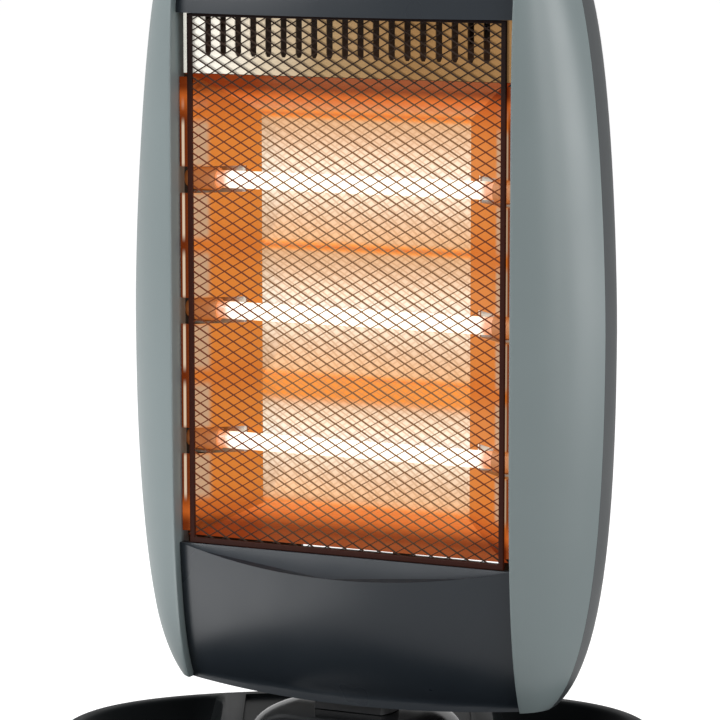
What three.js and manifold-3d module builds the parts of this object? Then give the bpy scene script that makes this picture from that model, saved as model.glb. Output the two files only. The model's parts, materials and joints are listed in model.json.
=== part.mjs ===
// Halogen heater: three quartz lamps in a barrel-shaped head that swings on an oval dished base.
// Millimetres, +Z up. The origin is on the floor, on the swivel axis. The base faces -Y. The head
// faces -Y in its own group, which is turned about the axis as the heater stands.
import * as THREE from "three";
import { mergeVertices } from "three/addons/utils/BufferGeometryUtils.js";
import Module from "manifold-3d";

const wasm = await Module();
wasm.setup();

// ---------------------------------------------------------------- driving dimensions

const FIT = 0.3; // clearance between pieces that rest on each other
const WALL = 2.4; // moulded walls
const SHEET = 0.9; // polished sheet metal

// head form: half width, front reach and rear reach swell like a barrel about HEAD_MIDDLE
const HEAD_TURN = -25; // degrees about the swivel axis, as it stands
const HEAD_FOOT = 51.5; // lower ends of the cheeks and the back
const LID_TOP = 488;
const LID_HEIGHT = 14;
const LID_SEAM = LID_TOP - LID_HEIGHT; // upper ends of the cheeks, where the top cover sits
const MIDDLE_SHARE = 0.4822; // where the widest section lies between the foot and the top
const HEAD_MIDDLE = HEAD_FOOT + MIDDLE_SHARE * (LID_TOP - HEAD_FOOT);
const CROWN_BEYOND = 8; // the barrel's crown and foot lie past the ends of the mouldings
const FOOT_BEYOND = 13.5;
const HEAD_RISE = LID_TOP + CROWN_BEYOND - HEAD_MIDDLE;
const HEAD_DROP = HEAD_MIDDLE - HEAD_FOOT + FOOT_BEYOND;
const MOUTH_HALF = 103; // half width between the cheeks
const CHEEK_WIDTH = 42.3; // one cheek, seen from the front, at its widest
const HEAD_HALF_WIDTH = MOUTH_HALF + CHEEK_WIDTH;
const SEAM_Y = 9; // front and rear mouldings meet here
const FRONT_REACH = 36; // seam to the foremost edge of the cheeks
const REAR_REACH = 58; // seam to the back
const BACK_POWER = 2.8; // squareness of the back in plan
const REAR_FLAT = 7; // straight run behind the seam before the back curves in
const CHEEK_BULGE = 5;
const EDGE_ROUND = 1.5; // broken front edge of the cheeks
const JAMB_DEPTH = 17; // return wall of each cheek beside the lamps
const HAND_HALF = 50; // carry recess in the back
const HAND_HEIGHT = 30;
const HAND_DEPTH = 26;
const HAND_BOTTOM = LID_SEAM - HAND_HEIGHT - 24;
const LOUVRE_LENGTH = 58;
const LOUVRE_HEIGHT = 3.6;
const LOUVRE_PITCH = 12;
const LOUVRE_GAP = 12; // between the two columns of louvres
const UPPER_LOUVRES = 9;
const LOWER_LOUVRES = 4;
const LOUVRE_CLEAR = 32; // from the recess down to the louvres, and from the foot up

// dark panels between the cheeks
const PANEL_SETBACK = 6; // panel edges stand this far behind the cheeks' edges
const PANEL_BULGE = 12; // centre of a panel ahead of its edges
const PANEL_FOOT = HEAD_FOOT - 4; // lowest point, at the centre
const PANEL_FOOT_RISE = 4;
const PANEL_HANG = HEAD_FOOT + 2.5; // below this height a panel hangs straight down
const SKIRT_HEIGHT = 81.5;
const BROW_HEIGHT = 39.3;
const MOUTH_BOTTOM = HEAD_FOOT + SKIRT_HEIGHT;
const MOUTH_TOP = LID_SEAM - BROW_HEIGHT;
const SHELF_DROP = 11; // the scooped shelf falls this much at the centre

// guard and lamp chamber
const GUARD_Y = -18; // front of the guard
const GUARD_DEPTH = 2;
const GUARD_SIDE = 6; // gap from the guard to each cheek
const GUARD_HALF = MOUTH_HALF - GUARD_SIDE;
const GUARD_HEM = 4.5;
const NET_COLUMNS = 7;
const NET_ROWS = 13;
const NET_STRAND = 1.5;
const STRIP_HEIGHT = 33.5; // polished vent strip above the lamps
const SLOT_COUNT = 19;
const SLOT_PITCH = 9.4;
const SLOT_WIDTH = 4;
const SLOT_RUN = 22;
const SLOT_TOP = 1.5; // metal left above the slots
const LAMP_ROOM = MOUTH_TOP - STRIP_HEIGHT - MOUTH_BOTTOM;
const LAMP_PITCH = 0.278 * LAMP_ROOM;
const LAMP_LOWER = 1.1; // the lamps sit this far below the middle of their room
const LAMP_MIDDLE = MOUTH_BOTTOM + LAMP_ROOM / 2 - LAMP_LOWER; // height of the second lamp
const LAMP_Y = -2;
const RIDGE_Y = 11; // crests between the troughs
const TROUGH_DEPTH = 13;
const WING_FRONT_HALF = MOUTH_HALF - 7;
const WING_BACK_HALF = 64; // where a wing's straight inner edge meets the crests
const TROUGH_BEYOND = 4; // the troughs run on behind the wings' edges
const WING_NOTCH = 15;
const TUBE_RADIUS = 5;
const TUBE_WALL = 1;
const TUBE_HALF = MOUTH_HALF - 12;
const FILAMENT_RADIUS = 1.2;
const FILAMENT_HALF = TUBE_HALF - 14;
const FILAMENT_DISCS = 5;
const CAP_RADIUS = 6.5;
const CAP_LENGTH = 20;
const CAP_BITE = 6; // how far a tube enters its cap
const BRACKET_WIDTH = 42;

// controls in the top cover
const CONTROL_HALF = 46;
const CONTROL_FRONT = -3;
const CONTROL_BACK = 29;
const CONTROL_SINK = 7; // floor of the recess below the top
const CONTROL_FLOOR = LID_TOP - CONTROL_SINK;
const ROCKER_PITCH = 27;
const ROCKER_WIDTH = 13;
const ROCKER_LENGTH = 18.6;
const ROCKER_END = 4.4; // height of a rocker's ends and of its middle above its pivot
const ROCKER_WAIST = 2.4;
const ROCKER_THROW = 11; // degrees to each side of level
const SWITCH_RIM = 2;
const SWITCH_DEPTH = 19;

// swivel and swing drive
const FLOOR_BOTTOM = HEAD_FOOT + 1.5;
const FLOOR_THICK = 3.2;
const POST_RADIUS = 11;
const POST_BORE = 7;
const FLANGE_RADIUS = 21; // foot of the post, under the base
const FLANGE_THICK = 3;
const NECK_RADIUS = 24;
const RUN = 0.4; // running clearance
const LINK_THICK = 4;
const LINK_HALF = 7;
const MOTOR_OFFSET = 22; // swivel axis to motor shaft
const CRANK_RADIUS = 15.4;
const CRANK_THICK = 4;
const PIN_RADIUS = 2.5;
const PIN_CLEARANCE = 1; // the slot takes up the drive's uneven lead
const SWING_HALF = 35; // degrees of head swing to each side of straight ahead
const CRANK_HALF = 90; // degrees of crank turn for that swing
const MOTOR_RADIUS = 21;
const MOTOR_HEIGHT = 19;
const NUT_RADIUS = 12.6;
const NUT_HEIGHT = 4;

// base
const BASE_HALF_WIDTH = 172;
const BASE_HALF_DEPTH = 108;
const BASE_POWER = 2.5; // squareness of the oval
const BASE_HEIGHT = 28;
const BASE_LIP = 12;
const BASE_TUCK = 3; // the wall draws in this much at its lower edge
const TRAY_DEPTH = 16;
const TRAY_DRAFT = 6;
const SADDLE_HALF = 78; // trays begin this far from the axis
const SADDLE_LIP = 12;
const PLATEAU_DROP = 2.4;
const FOOT_HEIGHT = 4;
const FOOT_RADIUS = 9;
const FOOT_X = 118;
const FOOT_Y = 62;
const PLATE_THICK = 2;
const PEDESTAL_RADIUS = 62;
const PEDESTAL_TOP_RADIUS = 38;
const PEDESTAL_HEIGHT = 16.5;
const PLUNGER_RADIUS = 3;
const PLUNGER_TRAVEL = 6;
const PLUNGER_X = 40;
const PLUNGER_Y = -45;
const SPRING_WIRE = 0.6;
const SPRING_TURNS = 4;
const GLAND_RADIUS = 6;
const GLAND_Z = 13;
const PLATE_SCREW_X = 60;
const PLATE_SCREW_EDGE = 36; // from the front and back of the base
const POST_OUTER = 4; // posts inside the cheeks
const SCREW_SINK = 3; // heads of the rear screws lie this far below the surface
const LOWER_SCREW_OUT = 15; // outside the mouth's edge
const LOWER_SCREW_UP = 66.5; // above the foot
const UPPER_SCREW_OUT = 9;
const UPPER_SCREW_DOWN = 46; // below the seam under the top cover

// ---------------------------------------------------------------- materials

const finish = (color, roughness, metalness = 0) =>
  new THREE.MeshStandardMaterial({ color, roughness, metalness });

const FINISH = {
  silverGrey: finish(0x8f9a9b, 0.42),
  darkGrey: finish(0x3f464d, 0.36),
  graphite: finish(0x2a2e31, 0.45),
  glossBlack: finish(0x101112, 0.12),
  polished: finish(0xd8d4cc, 0.12, 1),
  guardSteel: finish(0x5a3a2c, 0.45, 0.7),
  steel: finish(0x9a9c9e, 0.35, 0.9),
  quartz: finish(0xfff1dc, 0.05),
  filament: finish(0xffd9a0, 0.4, 0.3),
  ceramic: finish(0xdcd6c8, 0.6),
  blackPlastic: finish(0x17181a, 0.4),
  whitePlastic: finish(0xc9c8c2, 0.5),
  rubber: finish(0x1c1c1c, 0.9),
  wire: finish(0xb9b2a4, 0.6),
};

// ---------------------------------------------------------------- geometry helpers

const V = (x, y, z) => new THREE.Vector3(x, y, z);
const radians = THREE.MathUtils.degToRad;
const lerp = THREE.MathUtils.lerp;
const steps = (count) => Array.from({ length: count + 1 }, (_, i) => i / count);
const CIRCLE = 2 * Math.PI;

// A closed geometry as a manifold solid with its faces pointing out.
function solid(geometry) {
  const bare = new THREE.BufferGeometry();
  bare.setAttribute("position", geometry.getAttribute("position").clone());
  bare.setIndex(geometry.index);
  const merged = mergeVertices(bare, 1e-4);
  const point = merged.getAttribute("position");
  const corners = merged.index.array;
  const at = (i) => V().fromBufferAttribute(point, i);
  const faces = [];
  let volume = 0;
  for (let i = 0; i < corners.length; i += 3) {
    const [a, b, c] = corners.slice(i, i + 3);
    if (a === b || b === c || c === a) continue;
    faces.push([a, b, c]);
    volume += at(a).dot(at(b).cross(at(c)));
  }
  if (volume < 0) faces.forEach((face) => face.reverse());
  return new wasm.Manifold(
    new wasm.Mesh({
      numProp: 3,
      vertProperties: new Float32Array(point.array),
      triVerts: new Uint32Array(faces.flat()),
    }),
  );
}

function geometryOf(body) {
  const { numProp, vertProperties, triVerts } = body.getMesh();
  const points = [];
  for (let i = 0; i < vertProperties.length; i += numProp) {
    points.push(...vertProperties.subarray(i, i + 3));
  }
  const geometry = new THREE.BufferGeometry();
  geometry.setAttribute("position", new THREE.Float32BufferAttribute(points, 3));
  geometry.setIndex([...triVerts]);
  const faceted = geometry.toNonIndexed();
  faceted.computeVertexNormals();
  return faceted;
}

const union = (first, ...others) => others.reduce((sum, body) => sum.add(body), first);
const cut = (first, ...others) => others.reduce((left, body) => left.subtract(body), first);

// Triangles over one flat or nearly flat ring, turning the same way as the ring.
function capFaces(ring) {
  const normal = V(0, 0, 0);
  ring.forEach((p, i) => normal.add(p.clone().cross(ring[(i + 1) % ring.length])));
  normal.normalize();
  const side = (Math.abs(normal.z) > 0.7 ? V(1, 0, 0) : V(0, 0, 1)).cross(normal).normalize();
  const up = normal.clone().cross(side);
  const flat = ring.map((p) => new THREE.Vector2(p.dot(side), p.dot(up)));
  return THREE.ShapeUtils.triangulateShape(flat, []).map(([a, b, c]) => {
    const ab = flat[b].clone().sub(flat[a]);
    const ac = flat[c].clone().sub(flat[a]);
    return ab.cross(ac) > 0 ? [a, b, c] : [a, c, b];
  });
}

// A closed solid through rings that hold the same number of points.
function loft(rings) {
  const count = rings[0].length;
  const faces = [];
  rings.slice(1).forEach((_, k) => {
    for (let i = 0; i < count; i += 1) {
      const a = k * count + i;
      const b = k * count + ((i + 1) % count);
      faces.push([a, b, b + count], [a, b + count, a + count]);
    }
  });
  const last = (rings.length - 1) * count;
  capFaces(rings[0]).forEach(([a, b, c]) => faces.push([c, b, a]));
  capFaces(rings.at(-1)).forEach((face) => faces.push(face.map((i) => i + last)));
  const geometry = new THREE.BufferGeometry().setFromPoints(rings.flat());
  geometry.setIndex(faces.flat());
  return solid(geometry);
}

function box([x0, x1], [y0, y1], [z0, z1]) {
  const geometry = new THREE.BoxGeometry(x1 - x0, y1 - y0, z1 - z0);
  geometry.translate((x0 + x1) / 2, (y0 + y1) / 2, (z0 + z1) / 2);
  return solid(geometry);
}

// A solid of revolution about a line through (x, y, z) along Z, or along X when lying.
function turned(profile, sides, { at = [0, 0, 0], lying = false } = {}) {
  const points = profile.map(([radius, along]) => new THREE.Vector2(radius, along));
  const geometry = new THREE.LatheGeometry(points, sides);
  if (lying) geometry.rotateZ(-Math.PI / 2);
  else geometry.rotateX(Math.PI / 2);
  geometry.translate(...at);
  return solid(geometry);
}

const disc = (radius, from, to) => [
  [0, from],
  [radius, from],
  [radius, to],
  [0, to],
];

const sleeve = (inner, outer, from, to) => [
  [inner, from],
  [outer, from],
  [outer, to],
  [inner, to],
  [inner, from],
];

const round = (radius, x, y, z0, z1, sides = 12) =>
  turned(disc(radius, z0, z1), sides, { at: [x, y, 0] });

// Outlines in two coordinates with a thickness, as one solid: "xz" outlines grow along +Y, "yz"
// along +X and "xy" along +Z, each from the place given.
function plates(outlines, thickness, plane, from) {
  const shapes = outlines.map(
    (outline) => new THREE.Shape(outline.map(([a, b]) => new THREE.Vector2(a, b))),
  );
  const geometry = new THREE.ExtrudeGeometry(shapes, { depth: thickness, bevelEnabled: false });
  const frames = {
    xy: [V(1, 0, 0), V(0, 1, 0), V(0, 0, 1)],
    xz: [V(1, 0, 0), V(0, 0, 1), V(0, 1, 0)],
    yz: [V(0, 1, 0), V(0, 0, 1), V(1, 0, 0)],
  };
  const along = frames[plane];
  const start = along[2].clone().multiplyScalar(from);
  geometry.applyMatrix4(new THREE.Matrix4().makeBasis(...along).setPosition(start));
  return solid(geometry);
}

const plate = (outline, ...rest) => plates([outline], ...rest);

// A sheet in X and Z with holes right through it.
const pierced = (outline, thickness, from, holes) =>
  plate(outline, thickness, "xz", from).subtract(plates(holes, thickness + 2, "xz", from - 1));

// A round tube or rod along a curve.
function tubeAlong(curve, radius, sides, pieces) {
  const section = new THREE.Shape(
    steps(sides)
      .slice(0, -1)
      .map((t) => new THREE.Vector2(radius * Math.cos(t * CIRCLE), radius * Math.sin(t * CIRCLE))),
  );
  return solid(new THREE.ExtrudeGeometry(section, { steps: pieces, extrudePath: curve }));
}

const mirrorX = (body) => body.mirror([1, 0, 0]);

function node(group, name, body, material) {
  const mesh = new THREE.Mesh(geometryOf(body), material);
  mesh.name = name;
  group.add(mesh);
  return mesh;
}

// Rectangle outline and its corners in order.
const rectangle = (x0, x1, y0, y1) => [
  [x0, y0],
  [x1, y0],
  [x1, y1],
  [x0, y1],
];

// ---------------------------------------------------------------- head form

// How full the barrel is at a height: 1 at the middle, 0 at the crown and the foot.
function fullness(z, upper, lower) {
  const [span, power, root] = z > HEAD_MIDDLE ? [HEAD_RISE, ...upper] : [HEAD_DROP, ...lower];
  return Math.max(0, 1 - Math.abs((z - HEAD_MIDDLE) / span) ** power) ** (1 / root);
}

const halfWidthAt = (z) => HEAD_HALF_WIDTH * fullness(z, [1.5, 10.4], [2.4, 8.3]);
const edgeYAt = (z) => SEAM_Y - FRONT_REACH * fullness(z, [8, 2.2], [4, 2.06]);
const backYAt = (z) => SEAM_Y + REAR_REACH * fullness(z, [8, 2], [5, 2.5]);

// Heights between two ends, closer together towards both ends.
const heights = (from, to, count) =>
  steps(count).map((t) => lerp(from, to, (1 - Math.cos(t * Math.PI)) / 2));

// Cheek surface from its front edge (t = 0) to the seam (t = 1), for the +X side.
function cheekPoint(z, t, inset = 0) {
  const front = new THREE.Vector2(MOUTH_HALF, edgeYAt(z) + inset);
  const seam = new THREE.Vector2(halfWidthAt(z) - inset, SEAM_Y);
  const along = seam.clone().sub(front);
  const bulge = CHEEK_BULGE * Math.min(1, along.length() / CHEEK_BULGE / 8) * 4 * t * (1 - t);
  const out = new THREE.Vector2(along.y, -along.x).normalize().multiplyScalar(bulge);
  const place = front.addScaledVector(along, t).add(out);
  return V(place.x, place.y, z);
}

// Back surface from the seam (t = 0) round to the middle of the back (t = 1), +X side.
function backPoint(z, t, inset = 0) {
  const power = 2 / BACK_POWER;
  const start = SEAM_Y + REAR_FLAT;
  const reach = backYAt(z) - inset - start;
  const angle = (t * Math.PI) / 2;
  const x = (halfWidthAt(z) - inset) * Math.max(0, Math.cos(angle)) ** power;
  return V(t === 1 ? 0 : x, start + Math.max(0.5, reach) * Math.sin(angle) ** power, z);
}

const mirrored = (points) => points.map((p) => V(-p.x, p.y, p.z)).reverse();

const EDGE_SHARE = 0.03; // share of a cheek's width that its broken edge takes
const BACK_STEPS = 7;
const CHEEK_STEPS = 5;
const FRONT_STEPS = 8;

// Whole outline of the head at a height, anticlockwise from above. An inner skin may take its
// outline from a form height other than its own.
function headOutline(level, inset = 0, z = level) {
  const front = steps(FRONT_STEPS).map((t) => {
    const x = lerp(-MOUTH_HALF, MOUTH_HALF, t);
    const bow = 1 - (x / MOUTH_HALF) ** 2;
    return V(x, edgeYAt(z) + inset - (PANEL_BULGE - PANEL_SETBACK) * bow, z);
  });
  const cheek = steps(CHEEK_STEPS).map((t) => cheekPoint(z, t, inset));
  const back = steps(BACK_STEPS).map((t) => backPoint(z, t, inset));
  const right = [...cheek.slice(1), ...back];
  return [...front, ...right, ...mirrored(right).slice(1)].map((p) => p.setZ(level));
}

const headBody = (inset, from, to, count) =>
  loft(heights(from, to, count).map((z) => headOutline(z, inset)));

// ---------------------------------------------------------------- head mouldings

function cheekRight() {
  const rings = heights(HEAD_FOOT, LID_SEAM - FIT, 14).map((z) => {
    const broken = [V(MOUTH_HALF, edgeYAt(z) + EDGE_ROUND, z), cheekPoint(z, EDGE_SHARE)];
    const outer = [...broken, ...steps(CHEEK_STEPS).slice(1).map((t) => cheekPoint(z, t))];
    outer.at(-1).y -= FIT / 2;
    const inner = steps(CHEEK_STEPS - 1).map((t) => cheekPoint(z, 1 - t, WALL));
    inner[0].y -= FIT / 2;
    const front = inner.at(-1);
    front.x = MOUTH_HALF + WALL;
    const jambBack = Math.min(edgeYAt(z) + JAMB_DEPTH, SEAM_Y - 2);
    const jamb = [V(MOUTH_HALF + WALL, jambBack, z), V(MOUTH_HALF, jambBack, z)];
    return [...outer, ...inner, ...jamb];
  });
  const posts = SCREW_PLACES.filter(([x]) => x > 0).map(cheekPost);
  const within = headBody(0.6, HEAD_FOOT, LID_SEAM - FIT, 14);
  return union(loft(rings), union(...posts).intersect(within));
}

function rearCover() {
  const top = LID_SEAM - FIT;
  const rings = heights(HEAD_FOOT, top, 14).map((z) => {
    const half = (inset) => {
      const curve = steps(BACK_STEPS).map((t) => backPoint(z, t, inset));
      return [V(halfWidthAt(z) - inset, SEAM_Y + FIT / 2, z), ...curve];
    };
    const [outer, inner] = [half(0), half(WALL)];
    return [...outer, ...mirrored(outer).slice(1), ...[...inner, ...mirrored(inner).slice(1)].reverse()];
  });
  const shell = loft(rings);
  const handTop = HAND_BOTTOM + HAND_HEIGHT;
  const back = backYAt(HAND_BOTTOM + HAND_HEIGHT / 2);
  const pocket = (grow, depth) =>
    box(
      [-HAND_HALF - grow, HAND_HALF + grow],
      [back - depth, back + WALL],
      [HAND_BOTTOM - grow, handTop + grow],
    );
  const whole = headBody(0.2, HEAD_FOOT, top, 14);
  const tray = pocket(WALL, HAND_DEPTH + WALL).intersect(whole);
  const louvre = (x, z) =>
    box([x, x + LOUVRE_LENGTH], [SEAM_Y + REAR_REACH / 2, back + 20], [z, z + LOUVRE_HEIGHT]);
  const louvres = [];
  const upper = HAND_BOTTOM - LOUVRE_CLEAR - (UPPER_LOUVRES - 1) * LOUVRE_PITCH;
  const lower = HEAD_FOOT + LOUVRE_CLEAR;
  for (const [from, rows] of [[upper, UPPER_LOUVRES], [lower, LOWER_LOUVRES]]) {
    for (let row = 0; row < rows; row += 1) {
      const z = from + row * LOUVRE_PITCH;
      louvres.push(louvre(LOUVRE_GAP / 2, z), louvre(-LOUVRE_GAP / 2 - LOUVRE_LENGTH, z));
    }
  }
  const bosses = SCREW_PLACES.map(([x, z]) => {
    const seat = screwSeat(x, z);
    return roundY(disc(6, seat - WALL, seat + SCREW_SINK + 4), 10, x, z);
  });
  const wells = SCREW_PLACES.map(([x, z]) => {
    const seat = screwSeat(x, z);
    const profile = [
      [0, SEAM_Y],
      [POST_OUTER + FIT, SEAM_Y],
      [POST_OUTER + FIT, seat - WALL],
      [2.2, seat - WALL],
      [2.2, seat],
      [4.2, seat],
      [4.2, seat + 20],
      [0, seat + 20],
    ];
    return roundY(profile, 10, x, z);
  });
  const seats = union(...bosses).intersect(whole);
  return cut(union(shell, tray, seats), pocket(0, HAND_DEPTH), ...louvres, ...wells);
}

// Front of the dark panels, which bow forward between the cheeks.
function panelY(x, z) {
  return edgeYAt(Math.max(z, PANEL_HANG)) + PANEL_SETBACK - PANEL_BULGE * (1 - (x / MOUTH_HALF) ** 2);
}

// A bowed panel between two height lines, each given as a function of x.
function bowedPanel(lowAt, highAt, levels) {
  const half = MOUTH_HALF - FIT;
  const across = steps(10).map((t) => lerp(-half, half, t));
  const rings = heights(0, 1, levels).map((t) => {
    const rowAt = (x, inset) => {
      const z = lerp(lowAt(x), highAt(x), t);
      return V(x, panelY(x, z) + inset, z);
    };
    return [...across.map((x) => rowAt(x, 0)), ...across.map((x) => rowAt(x, WALL)).reverse()];
  });
  return loft(rings);
}

const bow = (x) => 1 - (x / MOUTH_HALF) ** 2;
const shelfEdgeZ = (x) => MOUTH_BOTTOM - SHELF_DROP * bow(x);

function lowerPanel() {
  const skin = bowedPanel((x) => PANEL_FOOT + PANEL_FOOT_RISE * (1 - bow(x)), shelfEdgeZ, 8);
  const half = MOUTH_HALF - FIT;
  const shelfBack = GUARD_Y + GUARD_DEPTH + 2;
  const rings = steps(10).map((t) => {
    const x = lerp(-half, half, t);
    const edge = shelfEdgeZ(x);
    const front = Math.min(panelY(x, edge), GUARD_Y - 1.6) + 0.6;
    const top = MOUTH_BOTTOM;
    return [
      V(x, front, edge),
      V(x, GUARD_Y - 0.6, top),
      V(x, shelfBack, top),
      V(x, shelfBack, top - WALL),
      V(x, GUARD_Y + 0.4, top - WALL),
      V(x, front, edge - WALL),
    ];
  });
  return union(skin, loft(rings));
}

function browPanel() {
  const skin = bowedPanel(() => MOUTH_TOP, () => LID_SEAM - FIT, 4);
  const half = MOUTH_HALF - FIT;
  const outline = steps(10).map((t) => {
    const x = lerp(-half, half, t);
    return [x, panelY(x, MOUTH_TOP) + 0.8];
  });
  const back = GUARD_Y + GUARD_DEPTH + 2;
  const ledge = plate([...outline, [half, back], [-half, back]], WALL, "xy", MOUTH_TOP);
  return union(skin, ledge);
}

const rockerX = (i) => (i - 1) * ROCKER_PITCH;
const CONTROL_MIDDLE = (CONTROL_FRONT + CONTROL_BACK) / 2;
const SWITCH_HALF_X = ROCKER_WIDTH / 2 + FIT + SWITCH_RIM;
const SWITCH_HALF_Y = ROCKER_LENGTH / 2 + 1.2 + SWITCH_RIM;

function topCover() {
  const outer = headBody(0, LID_SEAM, LID_TOP, 7);
  const rise = LID_TOP - LID_SEAM;
  const inner = loft(
    steps(4).map((t) =>
      headOutline(LID_SEAM - 1 + t * (rise - WALL + 1), WALL, LID_SEAM - 1 + t * (rise + 1)),
    ),
  );
  const floorBottom = CONTROL_FLOOR - WALL;
  const around = (grow, bottom, top) =>
    box(
      [-CONTROL_HALF - grow, CONTROL_HALF + grow],
      [CONTROL_FRONT - grow, CONTROL_BACK + grow],
      [bottom, top],
    );
  const tray = around(WALL, floorBottom, LID_TOP).intersect(outer);
  const switchHoles = [0, 1, 2].map((i) =>
    box(
      [rockerX(i) - SWITCH_HALF_X + SWITCH_RIM / 2, rockerX(i) + SWITCH_HALF_X - SWITCH_RIM / 2],
      [
        CONTROL_MIDDLE - SWITCH_HALF_Y + SWITCH_RIM / 2,
        CONTROL_MIDDLE + SWITCH_HALF_Y - SWITCH_RIM / 2,
      ],
      [floorBottom - 1, CONTROL_FLOOR + 1],
    ),
  );
  return cut(union(cut(outer, inner), tray), around(0, CONTROL_FLOOR, LID_TOP + 1), ...switchHoles);
}

const FLOOR_TOP = FLOOR_BOTTOM + FLOOR_THICK;
const PLATEAU = BASE_HEIGHT - PLATEAU_DROP;
const PEDESTAL_BOTTOM = PLATEAU + FIT;
const PEDESTAL_TOP = PEDESTAL_BOTTOM + PEDESTAL_HEIGHT;
const MOTOR_BOTTOM = FLOOR_TOP + FIT + LINK_THICK + FIT + NUT_HEIGHT + 4;
const EAR_X = MOTOR_RADIUS + 8;
const MOTOR_BODY_Y = MOTOR_OFFSET - 6; // the can stands forward of its geared shaft

function bottomCover() {
  const outline = headOutline(FLOOR_BOTTOM, WALL + FIT).map((p) => {
    const limit = panelY(p.x, FLOOR_BOTTOM) + WALL + 2 * FIT;
    const inFront = Math.abs(p.x) <= MOUTH_HALF && p.y < SEAM_Y;
    return [p.x, inFront ? limit : p.y];
  });
  const floor = plate(outline, FLOOR_THICK, "xy", FLOOR_BOTTOM);
  const neckBottom = PEDESTAL_TOP + RUN;
  const front = panelY(NECK_RADIUS, FLOOR_BOTTOM) + WALL + FIT;
  const behind = (y) => box([-NECK_RADIUS, NECK_RADIUS], [y, NECK_RADIUS], [neckBottom, FLOOR_TOP + 1]);
  const neck = turned(disc(NECK_RADIUS, neckBottom, FLOOR_BOTTOM + 0.5), 28).intersect(behind(front));
  const groove = turned(
    sleeve(POST_RADIUS + RUN + WALL, NECK_RADIUS - WALL, neckBottom + WALL, FLOOR_TOP + 1),
    28,
  ).intersect(behind(front + WALL));
  const jambSlots = [-1, 1].map((side) =>
    box(
      [side * (MOUTH_HALF + WALL / 2) - WALL, side * (MOUTH_HALF + WALL / 2) + WALL],
      [edgeYAt(FLOOR_BOTTOM) - 20, SEAM_Y - 1],
      [FLOOR_BOTTOM - 1, FLOOR_TOP + 1],
    ),
  );
  const standoffs = [-1, 1].map((side) =>
    round(4, side * EAR_X, MOTOR_BODY_Y, FLOOR_TOP - 0.5, MOTOR_BOTTOM - FIT, 10),
  );
  const bore = turned(disc(POST_RADIUS + RUN, PEDESTAL_TOP, FLOOR_TOP + 1), 28);
  return cut(union(floor, neck), groove, bore, ...jambSlots).add(union(...standoffs));
}

// ---------------------------------------------------------------- guard and lamp chamber

// Expanded-metal net in a flat hem. Full diamonds fill the rows, half ones close the sides.
function meshGuard() {
  const [bottom, top] = [MOUTH_BOTTOM + FIT, MOUTH_TOP - FIT];
  const cellWidth = (2 * (GUARD_HALF - GUARD_HEM)) / NET_COLUMNS;
  const cellHeight = (top - bottom - 2 * GUARD_HEM) / NET_ROWS;
  const halfWide = cellWidth / 2 - NET_STRAND;
  const halfTall = (halfWide * cellHeight) / cellWidth;
  const holes = [];
  const x0 = GUARD_HEM - GUARD_HALF;
  const z0 = bottom + GUARD_HEM;
  for (let column = 0; column <= 2 * NET_COLUMNS; column += 1) {
    for (let row = 0; row <= 2 * NET_ROWS; row += 1) {
      if ((column + row) % 2) continue;
      const [x, z] = [x0 + (column * cellWidth) / 2, z0 + (row * cellHeight) / 2];
      const points = [
        column > 0 && [x - halfWide, z],
        row > 0 && [x, z - halfTall],
        column < 2 * NET_COLUMNS && [x + halfWide, z],
        row < 2 * NET_ROWS && [x, z + halfTall],
      ].filter(Boolean);
      if (points.length > 2) holes.push(points);
    }
  }
  const sheet = rectangle(-GUARD_HALF, GUARD_HALF, bottom, top);
  return pierced(sheet, GUARD_DEPTH, GUARD_Y, holes);
}

const CHAMBER_FRONT = GUARD_Y + GUARD_DEPTH + FIT;
const STRIP_TOP = MOUTH_TOP - FIT;
const STRIP_BOTTOM = STRIP_TOP - STRIP_HEIGHT;

// Polished strip with upright slots that are round at the foot.
function ventStrip() {
  const half = GUARD_HALF + 3;
  const slots = steps(SLOT_COUNT - 1).map((_, i) => {
    const x = (i - (SLOT_COUNT - 1) / 2) * SLOT_PITCH;
    const foot = STRIP_TOP - SLOT_TOP - SLOT_RUN;
    const side = SLOT_WIDTH / 2;
    return [
      [x - side, foot + side],
      [x - side / 2, foot],
      [x + side / 2, foot],
      [x + side, foot + side],
      [x + side, STRIP_TOP - SLOT_TOP],
      [x - side, STRIP_TOP - SLOT_TOP],
    ];
  });
  const sheet = rectangle(-half, half, STRIP_BOTTOM, STRIP_TOP);
  return pierced(sheet, SHEET, CHAMBER_FRONT, slots);
}

const lampZ = (i) => LAMP_MIDDLE + (1 - i) * LAMP_PITCH;
const CHAMBER_TOP = STRIP_BOTTOM - FIT;
const CHAMBER_BOTTOM = MOUTH_BOTTOM + GUARD_HEM;

// Front line of the reflector sheet in Y and Z: a sloping top, three troughs, a sloping foot.
function reflectorLine(offset) {
  const crest = (z) => [RIDGE_Y + offset, z];
  const line = [[CHAMBER_FRONT + offset, CHAMBER_TOP], crest(lampZ(0) + LAMP_PITCH / 2)];
  for (const lamp of [0, 1, 2]) {
    for (const t of steps(8).slice(1)) {
      const depth = TROUGH_DEPTH * (1 - (2 * t - 1) ** 2);
      line.push([RIDGE_Y + depth + offset, lampZ(lamp) + LAMP_PITCH * (0.5 - t)]);
    }
  }
  line.push([CHAMBER_FRONT + offset, CHAMBER_BOTTOM]);
  return line;
}

const wingSlope = (WING_FRONT_HALF - WING_BACK_HALF) / (RIDGE_Y - CHAMBER_FRONT);
const wingX = (y) => WING_FRONT_HALF - (y - CHAMBER_FRONT) * wingSlope;
const WING_ACROSS = SHEET * Math.hypot(1, wingSlope); // a wing's thickness along X
const WING_BACK = RIDGE_Y - FIT;

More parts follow.
